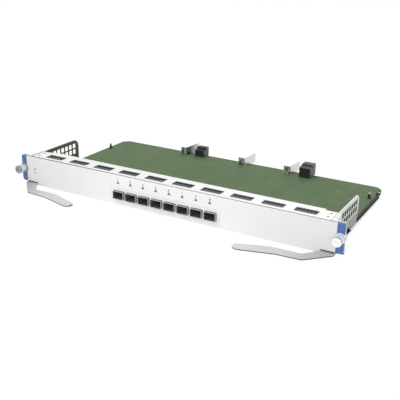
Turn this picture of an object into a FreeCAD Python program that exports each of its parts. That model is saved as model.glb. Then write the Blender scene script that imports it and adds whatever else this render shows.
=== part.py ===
import FreeCAD, Part
import math
import os
import re
import Sketcher
from FreeCAD import Vector

# Switch line card: a face panel with eight transceiver ports on a tray that
# carries the circuit board, with an ejector lever and a thumbscrew at each end.
# Millimetres. X runs along the panel, Y goes back from it, Z is up.
# Pieces are drawn with Y = 0 on the panel's front face and Z = 0 under the
# tray, then moved forward so that the origin is the middle of the tray's underside.

# Driving dimensions
SIZES = {
    # face panel
    "panel_width": 399,
    "panel_height": 36,
    "panel_sheet": 1.5,
    "end_count": 2,
    "lever_notch_length": 15.9,
    "lever_notch_round": 1.0,
    # transceiver ports
    "port_count": 8,
    "port_gap": 0.5,
    "port_middle_x": -0.25,
    "cage_width": 14,
    "cage_height": 9.2,
    "cage_wall": 0.25,
    "cage_proud": 3.2,
    "cage_corner": 0.6,
    "cage_length": 45,
    "gasket_reach": 1.3,
    "gasket_length": 1.6,
    "window_gap": 0.3,
    "finger_count": 3,
    "finger_margin": 1.5,
    "finger_slit": 0.5,
    "finger_slit_length": 9,
    "finger_slit_from": 5,
    "connector_width": 11.6,
    "connector_height": 6.2,
    "connector_depth": 12,
    "connector_clear": 2.75,
    "card_slot_height": 1.7,
    "card_slot_width": 10.2,
    "card_slot_depth": 7,
    "card_slot_up": 3.4,
    "connector_bevel": 1.5,
    "cage_floor_gap": 0.3,
    # indicators
    "indicator_shift": 1.4,
    "indicator_drop": 2.7,
    "indicator_width": 2.2,
    "indicator_height": 1.9,
    "pipe_gap": 0.1,
    "pipe_proud": 0.1,
    "pipe_leg": 1.8,
    "pipe_behind_cage": 2.6,
    "pipe_bar_from": 5,
    "pipe_bar_depth": 4,
    "pipe_bar_height": 2.8,
    "status_inset": 12.5,
    "status_z": 20.2,
    "status_radius": 0.95,
    # shield frame behind the panel's top edge
    "frame_sheet": 1.2,
    "frame_depth": 28,
    "frame_lip_height": 6.5,
    "frame_bend": 1.5,
    "frame_step_width": 13.8,
    "frame_step_depth": 24.5,
    "slot_count": 10,
    "slot_end_margin": 16.95,
    "slot_length": 24.8,
    "slot_front": 9.4,
    "slot_width": 6.9,
    # contact springs in the slots
    "spring_sheet": 0.3,
    "spring_margin": 0.8,
    "spring_count": 6,
    "spring_slit": 1.1,
    "spring_rail": 2.6,
    "spring_drop": 1.3,
    "spring_edge_gap": 0.3,
    "spring_crest": 0.9,
    "spring_crest_length": 1.7,
    "spring_fold": 0.4,
    # tray under the board
    "tray_inset": 4.1,
    "tray_depth": 186.5,
    "tray_sheet": 1.2,
    "tray_lip_height": 5.2,
    "tray_lip_inset": 15.4,
    "tray_notch_width": 14.9,
    "tray_notch_depth": 26.5,
    "tray_chamfer": 8,
    # circuit board
    "board_thickness": 2,
    "board_up": 4.4,
    "board_front": 3,
    "board_overhang": 11.5,
    "board_side_gap": 0.3,
    "board_chamfer": 7,
    "board_notch_back": 9.5,
    "board_notch_length": 19,
    "board_notch_depth": 1.8,
    # hexagonal standoffs between tray and board
    "standoff_radius": 3.2,
    "standoff_gap": 0.03,
    "standoff_inset": 23.5,
    "standoff_columns": 4,
    "standoff_first_y": 40,
    "standoff_back_inset": 20,
    "standoff_rows": 3,
    # perforated side brackets
    "bracket_inset": 7.7,
    "bracket_sheet": 1.2,
    "bracket_front": 2,
    "bracket_back": 91,
    "bracket_round": 9,
    "bracket_lower_edge": 6.8,
    "bracket_heel_z": 10,
    "bracket_heel_step": 2,
    "bracket_foot_margin": 2,
    "bracket_foot_ramp": 2,
    "hole_side": 6.2,
    "hole_pitch": 7.7,
    "hole_columns": 7,
    "hole_rows": 2,
    "hole_back_margin": 8.5,
    "hole_low_z": 20.7,
    "tab_width": 11,
    "tab_front": 5,
    "tab_length": 18,
    "foot_tab_inset": 21,
    "tab_rivet_inset": 4,
    "tab_rivet_pitch": 10,
    "tab_rivet_count": 2,
    "tab_rivet_side_inset": 5.5,
    "rivet_radius": 1.7,
    "rivet_gap": 0.04,
    # end brackets outside the side brackets
    "block_back": 24,
    "block_front_width": 4.6,
    "block_back_width": 2.4,
    "block_inset": 0.3,
    "ear_front": 3.2,
    "ear_sheet": 2.2,
    "ear_overhang": 7.8,
    "ear_round": 2.5,
    "ear_root": 1,
    "tenon_count": 2,
    "tenon_first_y": 6.5,
    "tenon_pitch": 9.5,
    "tenon_length": 3.5,
    "tenon_low_z": 16,
    "tenon_height": 8,
    "tenon_proud": 0.5,
    "tenon_gap": 0.05,
    # blue end covers
    "cover_gap": 0.2,
    "cover_proud": 0.4,
    "cover_soften": 0.7,
    "cover_split": 4.4,
    "cover_lower_round": 3.6,
    # captive thumbscrews
    "screw_overhang": 4,
    "screw_axis_z": 20,
    "ferrule_radius": 5.8,
    "ferrule_gap": 0.1,
    "ferrule_proud": 0.8,
    "ferrule_neck": 3.4,
    "ferrule_bore": 4.2,
    "ferrule_floor": 0.8,
    "knob_radius": 5,
    "knob_front": 11.3,
    "knob_length": 5,
    "knob_dish": 3.4,
    "knob_dish_depth": 0.5,
    "knob_slot_width": 1,
    "knob_slot_depth": 1.4,
    "knurl_count": 12,
    "knurl_width": 0.5,
    "knurl_depth": 0.35,
    "barrel_gap": 0.08,
    "press_gap": 0.02,
    "barrel_back": 1.2,
    "spring_pocket": 3.35,
    "spring_pocket_depth": 3,
    "shank_radius": 2,
    "thread_relief": 0.2,
    "thread_front": 6.4,
    "shank_back": 14,
    "shank_gap": 0.1,
    "washer_thickness": 0.4,
    "washer_gap": 0.05,
    "washer_clear": 0.08,
    "coil_wire": 0.5,
    "coil_turns": 2,
    "coil_gap": 0.05,
    # ejector levers
    "pivot_inset": 7,
    "pivot_y": 10,
    "pivot_radius": 2,
    "pivot_gap": 0.06,
    "pivot_head": 3.4,
    "pivot_head_height": 0.7,
    "lever_low": 0.5,
    "lever_thickness": 2.2,
    "lever_clear": 0.3,
    "hub_reach": 5.6,
    "hub_back": 6.4,
    "hub_back_round": 4,
    "hub_front_reach": 7.9,
    "hub_front": 11,
    "hub_front_round": 5,
    "lever_elbow_x": -21.5,
    "lever_elbow_y": -27.6,
    "lever_elbow_across": 4.4,
    "lever_elbow_depth": 10,
    "lever_elbow_round": 4,
    "lever_knee_x": -53.5,
    "lever_knee_y": -27.8,
    "lever_knee_across": 9,
    "lever_knee_depth": 11.4,
    "lever_knee_round": 20,
    "lever_tip_x": -89.1,
    "lever_tip_y": -40.6,
    "lever_tip_slant": 1,
    "lever_tip_depth": 6.8,
    "lever_tip_across": 6.2,
    "lever_tip_drop": 9,
    "lever_tip_round": 1.2,
    "shoulder_reach": 6.8,
    "shoulder_y": -13,
    "claw_reach": 13.9,
    "claw_front": -4.4,
    "claw_slope": 0.8,
    "claw_back": -0.4,
    "claw_gap_reach": 9.5,
    "claw_gap_back": 3,
    "claw_back_reach": 12.1,
    "claw_round": 1.2,
    "tip_hollow_front": 5.6,
    "tip_hollow_back": 2.4,
    "tip_hollow_wall": 0.5,
    "tip_hollow_depth": 3,
    "foot_radius": 6,
    "foot_corner": 3.6,
    # guide brackets at the back of the board
    "guide_sheet": 1,
    "guide_wing": 8.6,
    "guide_height": 10.3,
    "guide_length": 34.5,
    "guide_fall": 1.7,
    "guide_bend": 1.2,
    "guide_foot_width": 5,
    "guide_foot_length": 8,
    "guide_foot_from": 2,
    "guide_nose": 1,
    "guide_nose_fall": 2,
    "guide_drop": 3.5,
    "guide_drop_gap": 0.4,
    "guide_stand": 13.1,
    "guide_left_x": -88.3,
    "guide_middle_x": 0.5,
    "guide_right_x": 65.3,
    # rear connectors
    "power_x": 87.4,
    "power_stand": 15.5,
    "power_width": 14.6,
    "power_length": 20,
    "power_height": 15,
    "power_front_drop": 2.6,
    "power_lip": 1,
    "power_blade_low": 2,
    "power_step": 6.4,
    "power_groove": 2.4,
    "power_groove_depth": 2.4,
    "power_blade_count": 4,
    "power_blade_width": 1.4,
    "power_blade_pitch": 2.9,
    "power_blade_height": 8.4,
    "power_blade_depth": 12,
    "signal_x": -68,
    "signal_stand": 10.5,
    "signal_width": 14,
    "signal_length": 14,
    "signal_height": 11.8,
    "signal_front_drop": 2.6,
    "signal_step": 5.4,
    "signal_groove_count": 4,
    "signal_groove_width": 1.2,
    "signal_groove_pitch": 3,
    "signal_groove_depth": 1.6,
    "signal_tail": 2,
    "signal_hole_side": 1.6,
    "signal_hole_pitch": 2.6,
    "signal_hole_depth": 9,
    "signal_hole_low": 1.2,
    "signal_hole_columns": 4,
    "signal_hole_rows": 3,
    # small things on the board
    "post_inset": 4.5,
    "post_stand": 43.5,
    "post_radius": 1.5,
    "post_height": 7.4,
    "post_tip_radius": 0.9,
    "post_tip_height": 1.6,
    "rail_inset": 2.5,
    "rail_width": 3,
    "rail_gap": 6,
    "rail_back_inset": 2,
    "rail_tooth_width": 5,
    "rail_tooth_reach": 1.8,
    "rail_tooth_count": 7,
    "chip_x": 40,
    "chip_clear": 6,
    "chip_side": 23,
    "chip_height": 2.2,
    "chip_lid_inset": 2.5,
    "chip_lid_height": 0.6,
    # overlaps that join or clear two forms of one piece
    "fuse": 0.1,
    "over": 0.1,
}

doc = FreeCAD.newDocument("line_card")
sheet = doc.addObject("Spreadsheet::Sheet", "Dims")
for row, (alias, size) in enumerate(SIZES.items(), start=1):
    sheet.set(f"A{row}", alias)
    sheet.set(f"B{row}", str(size))
    sheet.setAlias(f"B{row}", alias)
doc.recompute()

# Places that several pieces share, as formulas in the sheet's names
DATUM_Y = "(panel_sheet + tray_depth / 2)"
TRAY_BACK = "(panel_sheet + tray_depth)"
TRAY_HALF = "(panel_width / 2 - tray_inset)"
BRACKET_INNER = "(panel_width / 2 - bracket_inset)"
BRACKET_OUTER = f"({BRACKET_INNER} + bracket_sheet)"
BOARD_HALF = f"({BRACKET_INNER} - board_side_gap)"
BOARD_BACK = f"({TRAY_BACK} + board_overhang)"
BOARD_BOTTOM = "(tray_sheet + board_up)"
BOARD_TOP = "(tray_sheet + board_up + board_thickness)"
FRAME_UNDER = "(panel_height - frame_sheet)"
TAB_RIVET_X = f"({BRACKET_INNER} - tab_rivet_side_inset)"
FOOT_TAB_FRONT = "(bracket_back - foot_tab_inset)"
SLOT_REACH = f"({BRACKET_INNER} - slot_end_margin - slot_length / 2)"
SLOT_PITCH = f"(2 * {SLOT_REACH} / (slot_count - 1))"
STANDOFF_X = f"({BOARD_HALF} - standoff_inset)"
STANDOFF_PITCH_X = f"(2 * {STANDOFF_X} / (standoff_columns - 1))"
STANDOFF_PITCH_Y = f"(({TRAY_BACK} - standoff_back_inset - standoff_first_y) / (standoff_rows - 1))"
PORT_PITCH = "(cage_width + 2 * gasket_reach + port_gap)"
PORT_FIRST_X = f"(port_middle_x - (port_count - 1) * {PORT_PITCH} / 2)"
INDICATOR_X = f"({PORT_FIRST_X} - indicator_shift)"
INDICATOR_Z = "(panel_height - frame_lip_height - indicator_drop)"
INDICATOR_LOW = f"({INDICATOR_Z} - indicator_height / 2)"
INDICATOR_HIGH = f"({INDICATOR_Z} + indicator_height / 2)"
PIPE_LEG_Y = "(cage_length + pipe_behind_cage)"
STATUS_X = "(status_inset - panel_width / 2)"
PIVOT_X = "(panel_width / 2 - pivot_inset)"
LEVER_TOP = "(lever_low + lever_thickness)"
EAR_LOW = f"({LEVER_TOP} + lever_clear)"
EAR_END = "(panel_width / 2 + ear_overhang)"
SCREW_X = "(panel_width / 2 + screw_overhang)"
BARREL_RADIUS = "(ferrule_bore - barrel_gap)"
POCKET_FRONT = "(-barrel_back - spring_pocket_depth)"
SEAT_BACK = "(ear_front - ferrule_floor)"

pieces = []


def bind(formula):
    """Turn a formula in the sheet's names into an expression on its cells."""
    return re.sub(
        r"[a-z_]\w*", lambda name: ("Dims." if name.group() in SIZES else "") + name.group(), formula)


def value(formula):
    """The number that a formula gives now."""
    return float(sheet.evalExpression(bind(formula)))


def new_piece(label, x="0", y="0", z="0", separate=False):
    """A body whose own origin stands at x, y, z from the panel's foot."""
    body = doc.addObject("PartDesign::Body", label)
    body.Label = label
    body.AllowCompound = separate
    body.setExpression("Placement.Base.x", bind(x))
    body.setExpression("Placement.Base.y", bind(f"{y} - {DATUM_Y}"))
    body.setExpression("Placement.Base.z", bind(z))
    pieces.append(body)
    return body


def mirror_piece(source, label):
    """The same piece for the other end of the panel."""
    twin = doc.addObject("Part::Mirroring", label)
    twin.Label = label
    twin.Source = source
    twin.Normal = Vector(1, 0, 0)
    pieces.append(twin)
    return twin


def origin_part(body, role):
    return next(part for part in body.Origin.OriginFeatures if part.Role == role)


def new_sketch(body, plane, level):
    """A sketch on an origin plane, moved along the plane's axis to a level."""
    sketch = body.newObject("Sketcher::SketchObject", "Sketch")
    sketch.AttachmentSupport = [(origin_part(body, plane + "_Plane"), "")]
    sketch.MapMode = "FlatFace"
    sign = "-" if plane == "XZ" else ""
    sketch.setExpression("AttachmentOffset.Base.z", bind(f"{sign}({level})"))
    return sketch


def fix_point(sketch, shape, end, across, up):
    """Constraints that hold a sketch point at two formulas."""
    for kind, formula in (("DistanceX", across), ("DistanceY", up)):
        index = sketch.addConstraint(Sketcher.Constraint(kind, -1, 1, shape, end, value(formula)))
        sketch.setExpression(f"Constraints[{index}]", bind(formula))


def fix_radius(sketch, shape, radius):
    index = sketch.addConstraint(Sketcher.Constraint("Radius", shape, value(radius)))
    sketch.setExpression(f"Constraints[{index}]", bind(radius))


def outline(body, plane, level, corners):
    """A closed outline of straight sides. Each corner is two formulas, and a third rounds it."""
    sketch = new_sketch(body, plane, level)
    count = len(corners)
    tips = [Vector(value(corner[0]), value(corner[1]), 0) for corner in corners]
    ends, starts = [], []
    for index, corner in enumerate(corners):
        back = (tips[index - 1] - tips[index]).normalize()
        ahead = (tips[(index + 1) % count] - tips[index]).normalize()
        reach = value(corner[2]) / math.tan(back.getAngle(ahead) / 2) if len(corner) == 3 else 0
        ends.append(tips[index] + back * reach)
        starts.append(tips[index] + ahead * reach)
    for index in range(count):
        sketch.addGeometry(Part.LineSegment(starts[index], ends[(index + 1) % count]), False)
    for index, corner in enumerate(corners):
        before = (index - 1) % count
        if len(corner) == 2:
            sketch.addConstraint(Sketcher.Constraint("Coincident", before, 2, index, 1))
            fix_point(sketch, index, 1, corner[0], corner[1])
            continue
        radius = value(corner[2])
        inward = (ends[index] + starts[index]) * 0.5 - tips[index]
        centre = tips[index] + inward * (1 + radius ** 2 / (ends[index] - tips[index]).Length ** 2)
        towards = (tips[index] - centre).normalize()
        arc = sketch.addGeometry(Part.Arc(ends[index], centre + towards * radius, starts[index]), False)
        turn = (tips[index] - tips[before]).cross(tips[(index + 1) % count] - tips[index]).z
        arc_start, arc_end = (1, 2) if turn > 0 else (2, 1)
        tip = sketch.addGeometry(Part.Point(tips[index]), True)
        sketch.addConstraint(Sketcher.Constraint("Tangent", before, 2, arc, arc_start))
        sketch.addConstraint(Sketcher.Constraint("Tangent", arc, arc_end, index, 1))
        sketch.addConstraint(Sketcher.Constraint("PointOnObject", tip, 1, before))
        sketch.addConstraint(Sketcher.Constraint("PointOnObject", tip, 1, index))
        fix_radius(sketch, arc, corner[2])
        fix_point(sketch, tip, 1, corner[0], corner[1])
    return sketch


def rectangle(body, plane, level, low, high, rounding=None):
    """An outline between two opposite corners."""
    spots = [(low[0], low[1]), (high[0], low[1]), (high[0], high[1]), (low[0], high[1])]
    return outline(body, plane, level, [spot + (rounding,) if rounding else spot for spot in spots])


def hexagon(body, plane, level, across, up, radius):
    """An outline with six corners on a circle."""
    half, rise = f"({radius}) / 2", f"({radius}) * sqrt(3) / 2"
    return outline(body, plane, level, [
        (f"{across} + {radius}", up),
        (f"{across} + {half}", f"{up} + {rise}"),
        (f"{across} - {half}", f"{up} + {rise}"),
        (f"{across} - {radius}", up),
        (f"{across} - {half}", f"{up} - {rise}"),
        (f"{across} + {half}", f"{up} - {rise}"),
    ])


def circles(body, plane, level, rounds):
    """A sketch of circles, each two formulas for its centre and one for its radius."""
    sketch = new_sketch(body, plane, level)
    for across, up, radius in rounds:
        middle = Vector(value(across), value(up), 0)
        shape = sketch.addGeometry(Part.Circle(middle, Vector(0, 0, 1), value(radius)), False)
        fix_radius(sketch, shape, radius)
        fix_point(sketch, shape, 3, across, up)
    return sketch


def grow(body, sketch, depth):
    """Pad a sketch towards the positive side of its plane's axis."""
    pad = body.newObject("PartDesign::Pad", "Pad")
    pad.Profile = sketch
    pad.setExpression("Length", bind(depth))
    pad.Reversed = "XZ" in sketch.AttachmentSupport[0][0].Role
    return settle(body, pad)


def cut(body, sketch, depth):
    """Pocket a sketch towards the positive side of its plane's axis."""
    before = body.Shape.Volume
    pocket = body.newObject("PartDesign::Pocket", "Pocket")
    pocket.Profile = sketch
    pocket.setExpression("Length", bind(depth))
    pocket.Reversed = "XZ" not in sketch.AttachmentSupport[0][0].Role
    settle(body, pocket)
    if not body.Shape.Volume < before:
        raise RuntimeError(f"{body.Label}: a pocket removed nothing")
    return pocket


def turn(body, sketch, axis):
    """Revolve a sketch about one of the body's own axes."""
    solid = body.newObject("PartDesign::Revolution", "Revolution")
    solid.Profile = sketch
    solid.ReferenceAxis = (origin_part(body, axis + "_Axis"), [""])
    return settle(body, solid)


def settle(body, feature):
    body.Tip = feature
    doc.recompute()
    if "Invalid" in feature.State or feature.Shape.isNull():
        raise RuntimeError(f"{body.Label}: {feature.Name} failed")
    return feature


def repeat(body, features, axis, pitch, count, axis2=None, pitch2=None, count2=None):
    """Repeat features along one axis, or over a grid of two."""
    pattern = body.newObject("PartDesign::LinearPattern", "Pattern")
    pattern.Originals = features
    pattern.Direction = (origin_part(body, axis + "_Axis"), [""])
    pattern.Mode = "Spacing"
    pattern.Occurrences = round(value(count))
    pattern.setExpression("Offset", bind(pitch))
    pattern.setExpression("Occurrences", bind(count))
    if axis2:
        pattern.Direction2 = (origin_part(body, axis2 + "_Axis"), [""])
        pattern.Mode2 = "Spacing"
        pattern.Spacings2 = [-1.0] * (round(value(count2)) - 1)
        pattern.Occurrences2 = round(value(count2))
        pattern.setExpression("Offset2", bind(pitch2))
        pattern.setExpression("Occurrences2", bind(count2))
    return settle(body, pattern)


def repeat_round(body, features, axis, count):
    pattern = body.newObject("PartDesign::PolarPattern", "Ring")
    pattern.Originals = features
    pattern.Axis = (origin_part(body, axis + "_Axis"), [""])
    pattern.Angle = 360
    pattern.setExpression("Occurrences", bind(count))
    return settle(body, pattern)


def soften(body, kind, size, chosen):
    """Round or chamfer the edges that a test on both end points picks."""
    base = body.Tip
    names = []
    for index, edge in enumerate(base.Shape.Edges, start=1):
        if all(chosen(vertex.Point) for vertex in edge.Vertexes) and chosen(edge.CenterOfMass):
            names.append(f"Edge{index}")
    feature = body.newObject("PartDesign::" + kind, kind)
    feature.Base = (base, names)
    feature.setExpression("Radius" if kind == "Fillet" else "Size", bind(size))
    return settle(body, feature)


def near(first, formula):
    """Whether a coordinate lies at a formula's value."""
    return abs(first - value(formula)) < 0.01


# Front panel: a flat steel plate with square port windows and a small triangular
# window over each. Its ends are scalloped round the ferrules, and each lower
# corner is notched for the lever.
panel = new_piece("front_panel")
half = "panel_width / 2"
notch_start = f"({half} - lever_notch_length)"
grow(panel, outline(panel, "XZ", "0", [
    (f"-{half}", EAR_LOW),
    (f"-{notch_start}", EAR_LOW, "lever_notch_round"),
    (f"-{notch_start}", "0"),
    (notch_start, "0"),
    (notch_start, EAR_LOW, "lever_notch_round"),
    (half, EAR_LOW),
    (half, "panel_height"),
    (f"-{half}", "panel_height"),
]), "panel_sheet")
window_half = "(cage_width / 2 + window_gap)"
window = cut(panel, rectangle(
    panel, "XZ", "0",
    (f"{PORT_FIRST_X} - {window_half}", f"{BOARD_TOP} - window_gap"),
    (f"{PORT_FIRST_X} + {window_half}", f"{BOARD_TOP} + cage_height + window_gap")), "panel_sheet")
repeat(panel, [window], "X", PORT_PITCH, "port_count")
lamp = cut(panel, outline(panel, "XZ", "0", [
    (f"{INDICATOR_X} - indicator_width / 2", INDICATOR_LOW),
    (f"{INDICATOR_X} + indicator_width / 2", INDICATOR_LOW),
    (INDICATOR_X, INDICATOR_HIGH),
]), "panel_sheet")
repeat(panel, [lamp], "X", PORT_PITCH, "port_count")
cut(panel, circles(panel, "XZ", "0", [(STATUS_X, "status_z", "status_radius")]), "panel_sheet")
cut(panel, circles(panel, "XZ", "0", [
    (f"-{SCREW_X}", "screw_axis_z", "ferrule_radius + ferrule_gap"),
    (SCREW_X, "screw_axis_z", "ferrule_radius + ferrule_gap"),
]), "panel_sheet")

# Shield frame: a folded sheet whose top continues the panel back over the
# cages, with ten long slots and a lip behind the panel.
frame = new_piece("shield_frame", x=f"-{BRACKET_INNER}")
grow(frame, outline(frame, "YZ", "0", [
    ("panel_sheet", "panel_height - frame_lip_height"),
    ("panel_sheet + frame_sheet", "panel_height - frame_lip_height"),
    ("panel_sheet + frame_sheet", FRAME_UNDER, "frame_bend - frame_sheet"),
    ("frame_depth", FRAME_UNDER),
    ("frame_depth", "panel_height"),
    ("panel_sheet", "panel_height", "frame_bend"),
]), f"2 * {BRACKET_INNER}")
slot = cut(frame, rectangle(
    frame, "XY", FRAME_UNDER,
    ("slot_end_margin", "slot_front"),
    ("slot_end_margin + slot_length", "slot_front + slot_width")), "frame_sheet")
repeat(frame, [slot], "X", SLOT_PITCH, "slot_count")
for start in ("0", f"2 * {BRACKET_INNER} - frame_step_width"):
    cut(frame, rectangle(
        frame, "XY", FRAME_UNDER,
        (start, "frame_step_depth"), (f"{start} + frame_step_width", "frame_depth")), "frame_sheet")
rivet_hole = cut(frame, circles(frame, "XY", FRAME_UNDER, [
    ("tab_rivet_side_inset", "tab_front + tab_rivet_inset", "rivet_radius + rivet_gap"),
    (f"{BRACKET_INNER} + {TAB_RIVET_X}", "tab_front + tab_rivet_inset", "rivet_radius + rivet_gap"),
]), "frame_sheet")
repeat(frame, [rivet_hole], "Y", "tab_rivet_pitch", "tab_rivet_count")

# Contact springs: ten strips of beryllium copper clipped under the slots, each
# with a row of fingers folded up into its slot.
springs = new_piece("contact_springs", x=f"-{SLOT_REACH}", separate=True)
slot_rear = "slot_front + slot_width"
slot_middle = "slot_front + slot_width / 2"
crest = f"{FRAME_UNDER} + spring_crest"
foot = f"{FRAME_UNDER} - spring_drop"
strip = grow(springs, outline(springs, "YZ", "spring_margin - slot_length / 2", [
    (f"{slot_rear} + spring_rail", f"{FRAME_UNDER} - spring_sheet"),
    (f"{slot_rear} + spring_rail", FRAME_UNDER),
    (f"{slot_rear} - spring_fold", FRAME_UNDER),
    (f"{slot_middle} + spring_crest_length / 2", crest),
    (f"{slot_middle} - spring_crest_length / 2", crest),
    ("slot_front + spring_edge_gap", foot),
    ("slot_front + spring_edge_gap + spring_sheet", foot),
    (f"{slot_middle} - spring_crest_length / 2 + spring_sheet / 2", f"{crest} - spring_sheet"),
    (f"{slot_middle} + spring_crest_length / 2 - spring_sheet / 2", f"{crest} - spring_sheet"),
    (f"{slot_rear} - spring_fold", f"{FRAME_UNDER} - spring_sheet"),
]), "slot_length - 2 * spring_margin")
repeat(springs, [strip], "X", SLOT_PITCH, "slot_count")
finger_pitch = "((slot_length - 2 * spring_margin + spring_slit) / spring_count)"
finger_gap = cut(springs, rectangle(
    springs, "XY", f"{foot} - over",
    (f"spring_margin - slot_length / 2 + {finger_pitch} - spring_slit", "slot_front"),
    (f"spring_margin - slot_length / 2 + {finger_pitch}", f"{slot_rear} - spring_fold")),
    "spring_drop + spring_crest + 2 * over")
repeat(springs, [finger_gap], "X", finger_pitch, "spring_count - 1", "X", SLOT_PITCH, "slot_count")

# Bottom tray: a steel sheet with a folded lip behind the panel, cut away at
# the front corners where the levers swing.
tray = new_piece("bottom_tray")
tray_notch = f"({TRAY_HALF} - tray_notch_width)"
tray_lip = f"({TRAY_HALF} - tray_lip_inset)"
grow(tray, outline(tray, "XY", "0", [
    (f"-{tray_notch}", "panel_sheet"),
    (tray_notch, "panel_sheet"),
    (tray_notch, "panel_sheet + tray_notch_depth"),
    (TRAY_HALF, "panel_sheet + tray_notch_depth"),
    (TRAY_HALF, f"{TRAY_BACK} - tray_chamfer"),
    (f"{TRAY_HALF} - tray_chamfer", TRAY_BACK),
    (f"tray_chamfer - {TRAY_HALF}", TRAY_BACK),
    (f"-{TRAY_HALF}", f"{TRAY_BACK} - tray_chamfer"),
    (f"-{TRAY_HALF}", "panel_sheet + tray_notch_depth"),
    (f"-{tray_notch}", "panel_sheet + tray_notch_depth"),
]), "tray_sheet")
grow(tray, rectangle(
    tray, "XY", "tray_sheet",
    (f"-{tray_lip}", "panel_sheet"), (tray_lip, "panel_sheet + tray_sheet")),
    "tray_lip_height - tray_sheet")
socket = cut(tray, hexagon(
    tray, "XY", "0", f"-{STANDOFF_X}", "standoff_first_y", "(standoff_radius + standoff_gap)"),
    "tray_sheet")
repeat(tray, [socket], "X", STANDOFF_PITCH_X, "standoff_columns", "Y", STANDOFF_PITCH_Y, "standoff_rows")

# Circuit board: glass laminate with chamfered rear corners and a small recess
# in its right edge.
board = new_piece("circuit_board")
notch_back = f"{BOARD_BACK} - board_notch_back"
grow(board, outline(board, "XY", BOARD_BOTTOM, [
    (f"-{BOARD_HALF}", "board_front"),
    (BOARD_HALF, "board_front"),
    (BOARD_HALF, f"{notch_back} - board_notch_length"),
    (f"{BOARD_HALF} - board_notch_depth", f"{notch_back} - board_notch_length"),
    (f"{BOARD_HALF} - board_notch_depth", notch_back),
    (BOARD_HALF, notch_back),
    (BOARD_HALF, f"{BOARD_BACK} - board_chamfer"),
    (f"{BOARD_HALF} - board_chamfer", BOARD_BACK),
    (f"board_chamfer - {BOARD_HALF}", BOARD_BACK),
    (f"-{BOARD_HALF}", f"{BOARD_BACK} - board_chamfer"),
]), "board_thickness")

# Board standoffs: hexagonal pillars clinched flush into the tray.
standoffs = new_piece("board_standoffs", separate=True)
pillar = grow(standoffs, hexagon(
    standoffs, "XY", "0", f"-{STANDOFF_X}", "standoff_first_y", "standoff_radius"), BOARD_BOTTOM)
repeat(standoffs, [pillar], "X", STANDOFF_PITCH_X, "standoff_columns", "Y", STANDOFF_PITCH_Y, "standoff_rows")

# Frame rivets: flush rivets through the shield frame and the brackets' tabs.
rivets = new_piece("frame_rivets", x=f"-{TAB_RIVET_X}", y="tab_front + tab_rivet_inset", separate=True)
rivet = grow(rivets, circles(rivets, "XY", f"{FRAME_UNDER} - bracket_sheet", [("0", "0", "rivet_radius")]),
             "bracket_sheet + frame_sheet")
repeat(rivets, [rivet], "X", f"2 * {TAB_RIVET_X}", "end_count", "Y", "tab_rivet_pitch", "tab_rivet_count")

# Side brackets: perforated steel plates between frame, board and tray, each
# with a tab folded in at the top and one welded to the tray at the foot.
side = new_piece("right_side_bracket")
foot_start = f"{FOOT_TAB_FRONT} - bracket_foot_margin"
grow(side, outline(side, "YZ", BRACKET_INNER, [
    ("bracket_front", "bracket_lower_edge"),
    (f"{foot_start} - bracket_foot_ramp", "bracket_lower_edge"),
    (foot_start, "tray_sheet"),
    ("bracket_back - bracket_heel_step", "tray_sheet"),
    ("bracket_back - bracket_heel_step", "bracket_heel_z - bracket_heel_step"),
    ("bracket_back", "bracket_heel_z"),
    ("bracket_back", "panel_height", "bracket_round"),
    ("bracket_front", "panel_height"),
]), "bracket_sheet")
first_hole_y = "(bracket_back - hole_back_margin - (hole_columns - 1) * hole_pitch)"
vent = cut(side, rectangle(
    side, "YZ", BRACKET_INNER,
    (f"{first_hole_y} - hole_side / 2", "hole_low_z - hole_side / 2"),
    (f"{first_hole_y} + hole_side / 2", "hole_low_z + hole_side / 2")), "bracket_sheet")
repeat(side, [vent], "Y", "hole_pitch", "hole_columns", "Z", "hole_pitch", "hole_rows")
for tab_y, tab_z in (("tab_front", f"{FRAME_UNDER} - bracket_sheet"), (FOOT_TAB_FRONT, "tray_sheet")):
    grow(side, rectangle(
        side, "XY", tab_z,
        (f"{BRACKET_INNER} - tab_width", tab_y), (f"{BRACKET_INNER} + fuse", f"{tab_y} + tab_length")),
        "bracket_sheet")
tab_hole = cut(side, circles(side, "XY", f"{FRAME_UNDER} - bracket_sheet", [
    (TAB_RIVET_X, "tab_front + tab_rivet_inset", "rivet_radius + rivet_gap")]), "bracket_sheet")
repeat(side, [tab_hole], "Y", "tab_rivet_pitch", "tab_rivet_count")
mortise = cut(side, rectangle(
    side, "YZ", BRACKET_INNER,
    ("tenon_first_y - tenon_gap", "tenon_low_z - tenon_gap"),
    ("tenon_first_y + tenon_length + tenon_gap", "tenon_low_z + tenon_height + tenon_gap")), "bracket_sheet")
repeat(side, [mortise], "Y", "tenon_pitch", "tenon_count")
mirror_piece(side, "left_side_bracket")

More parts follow.
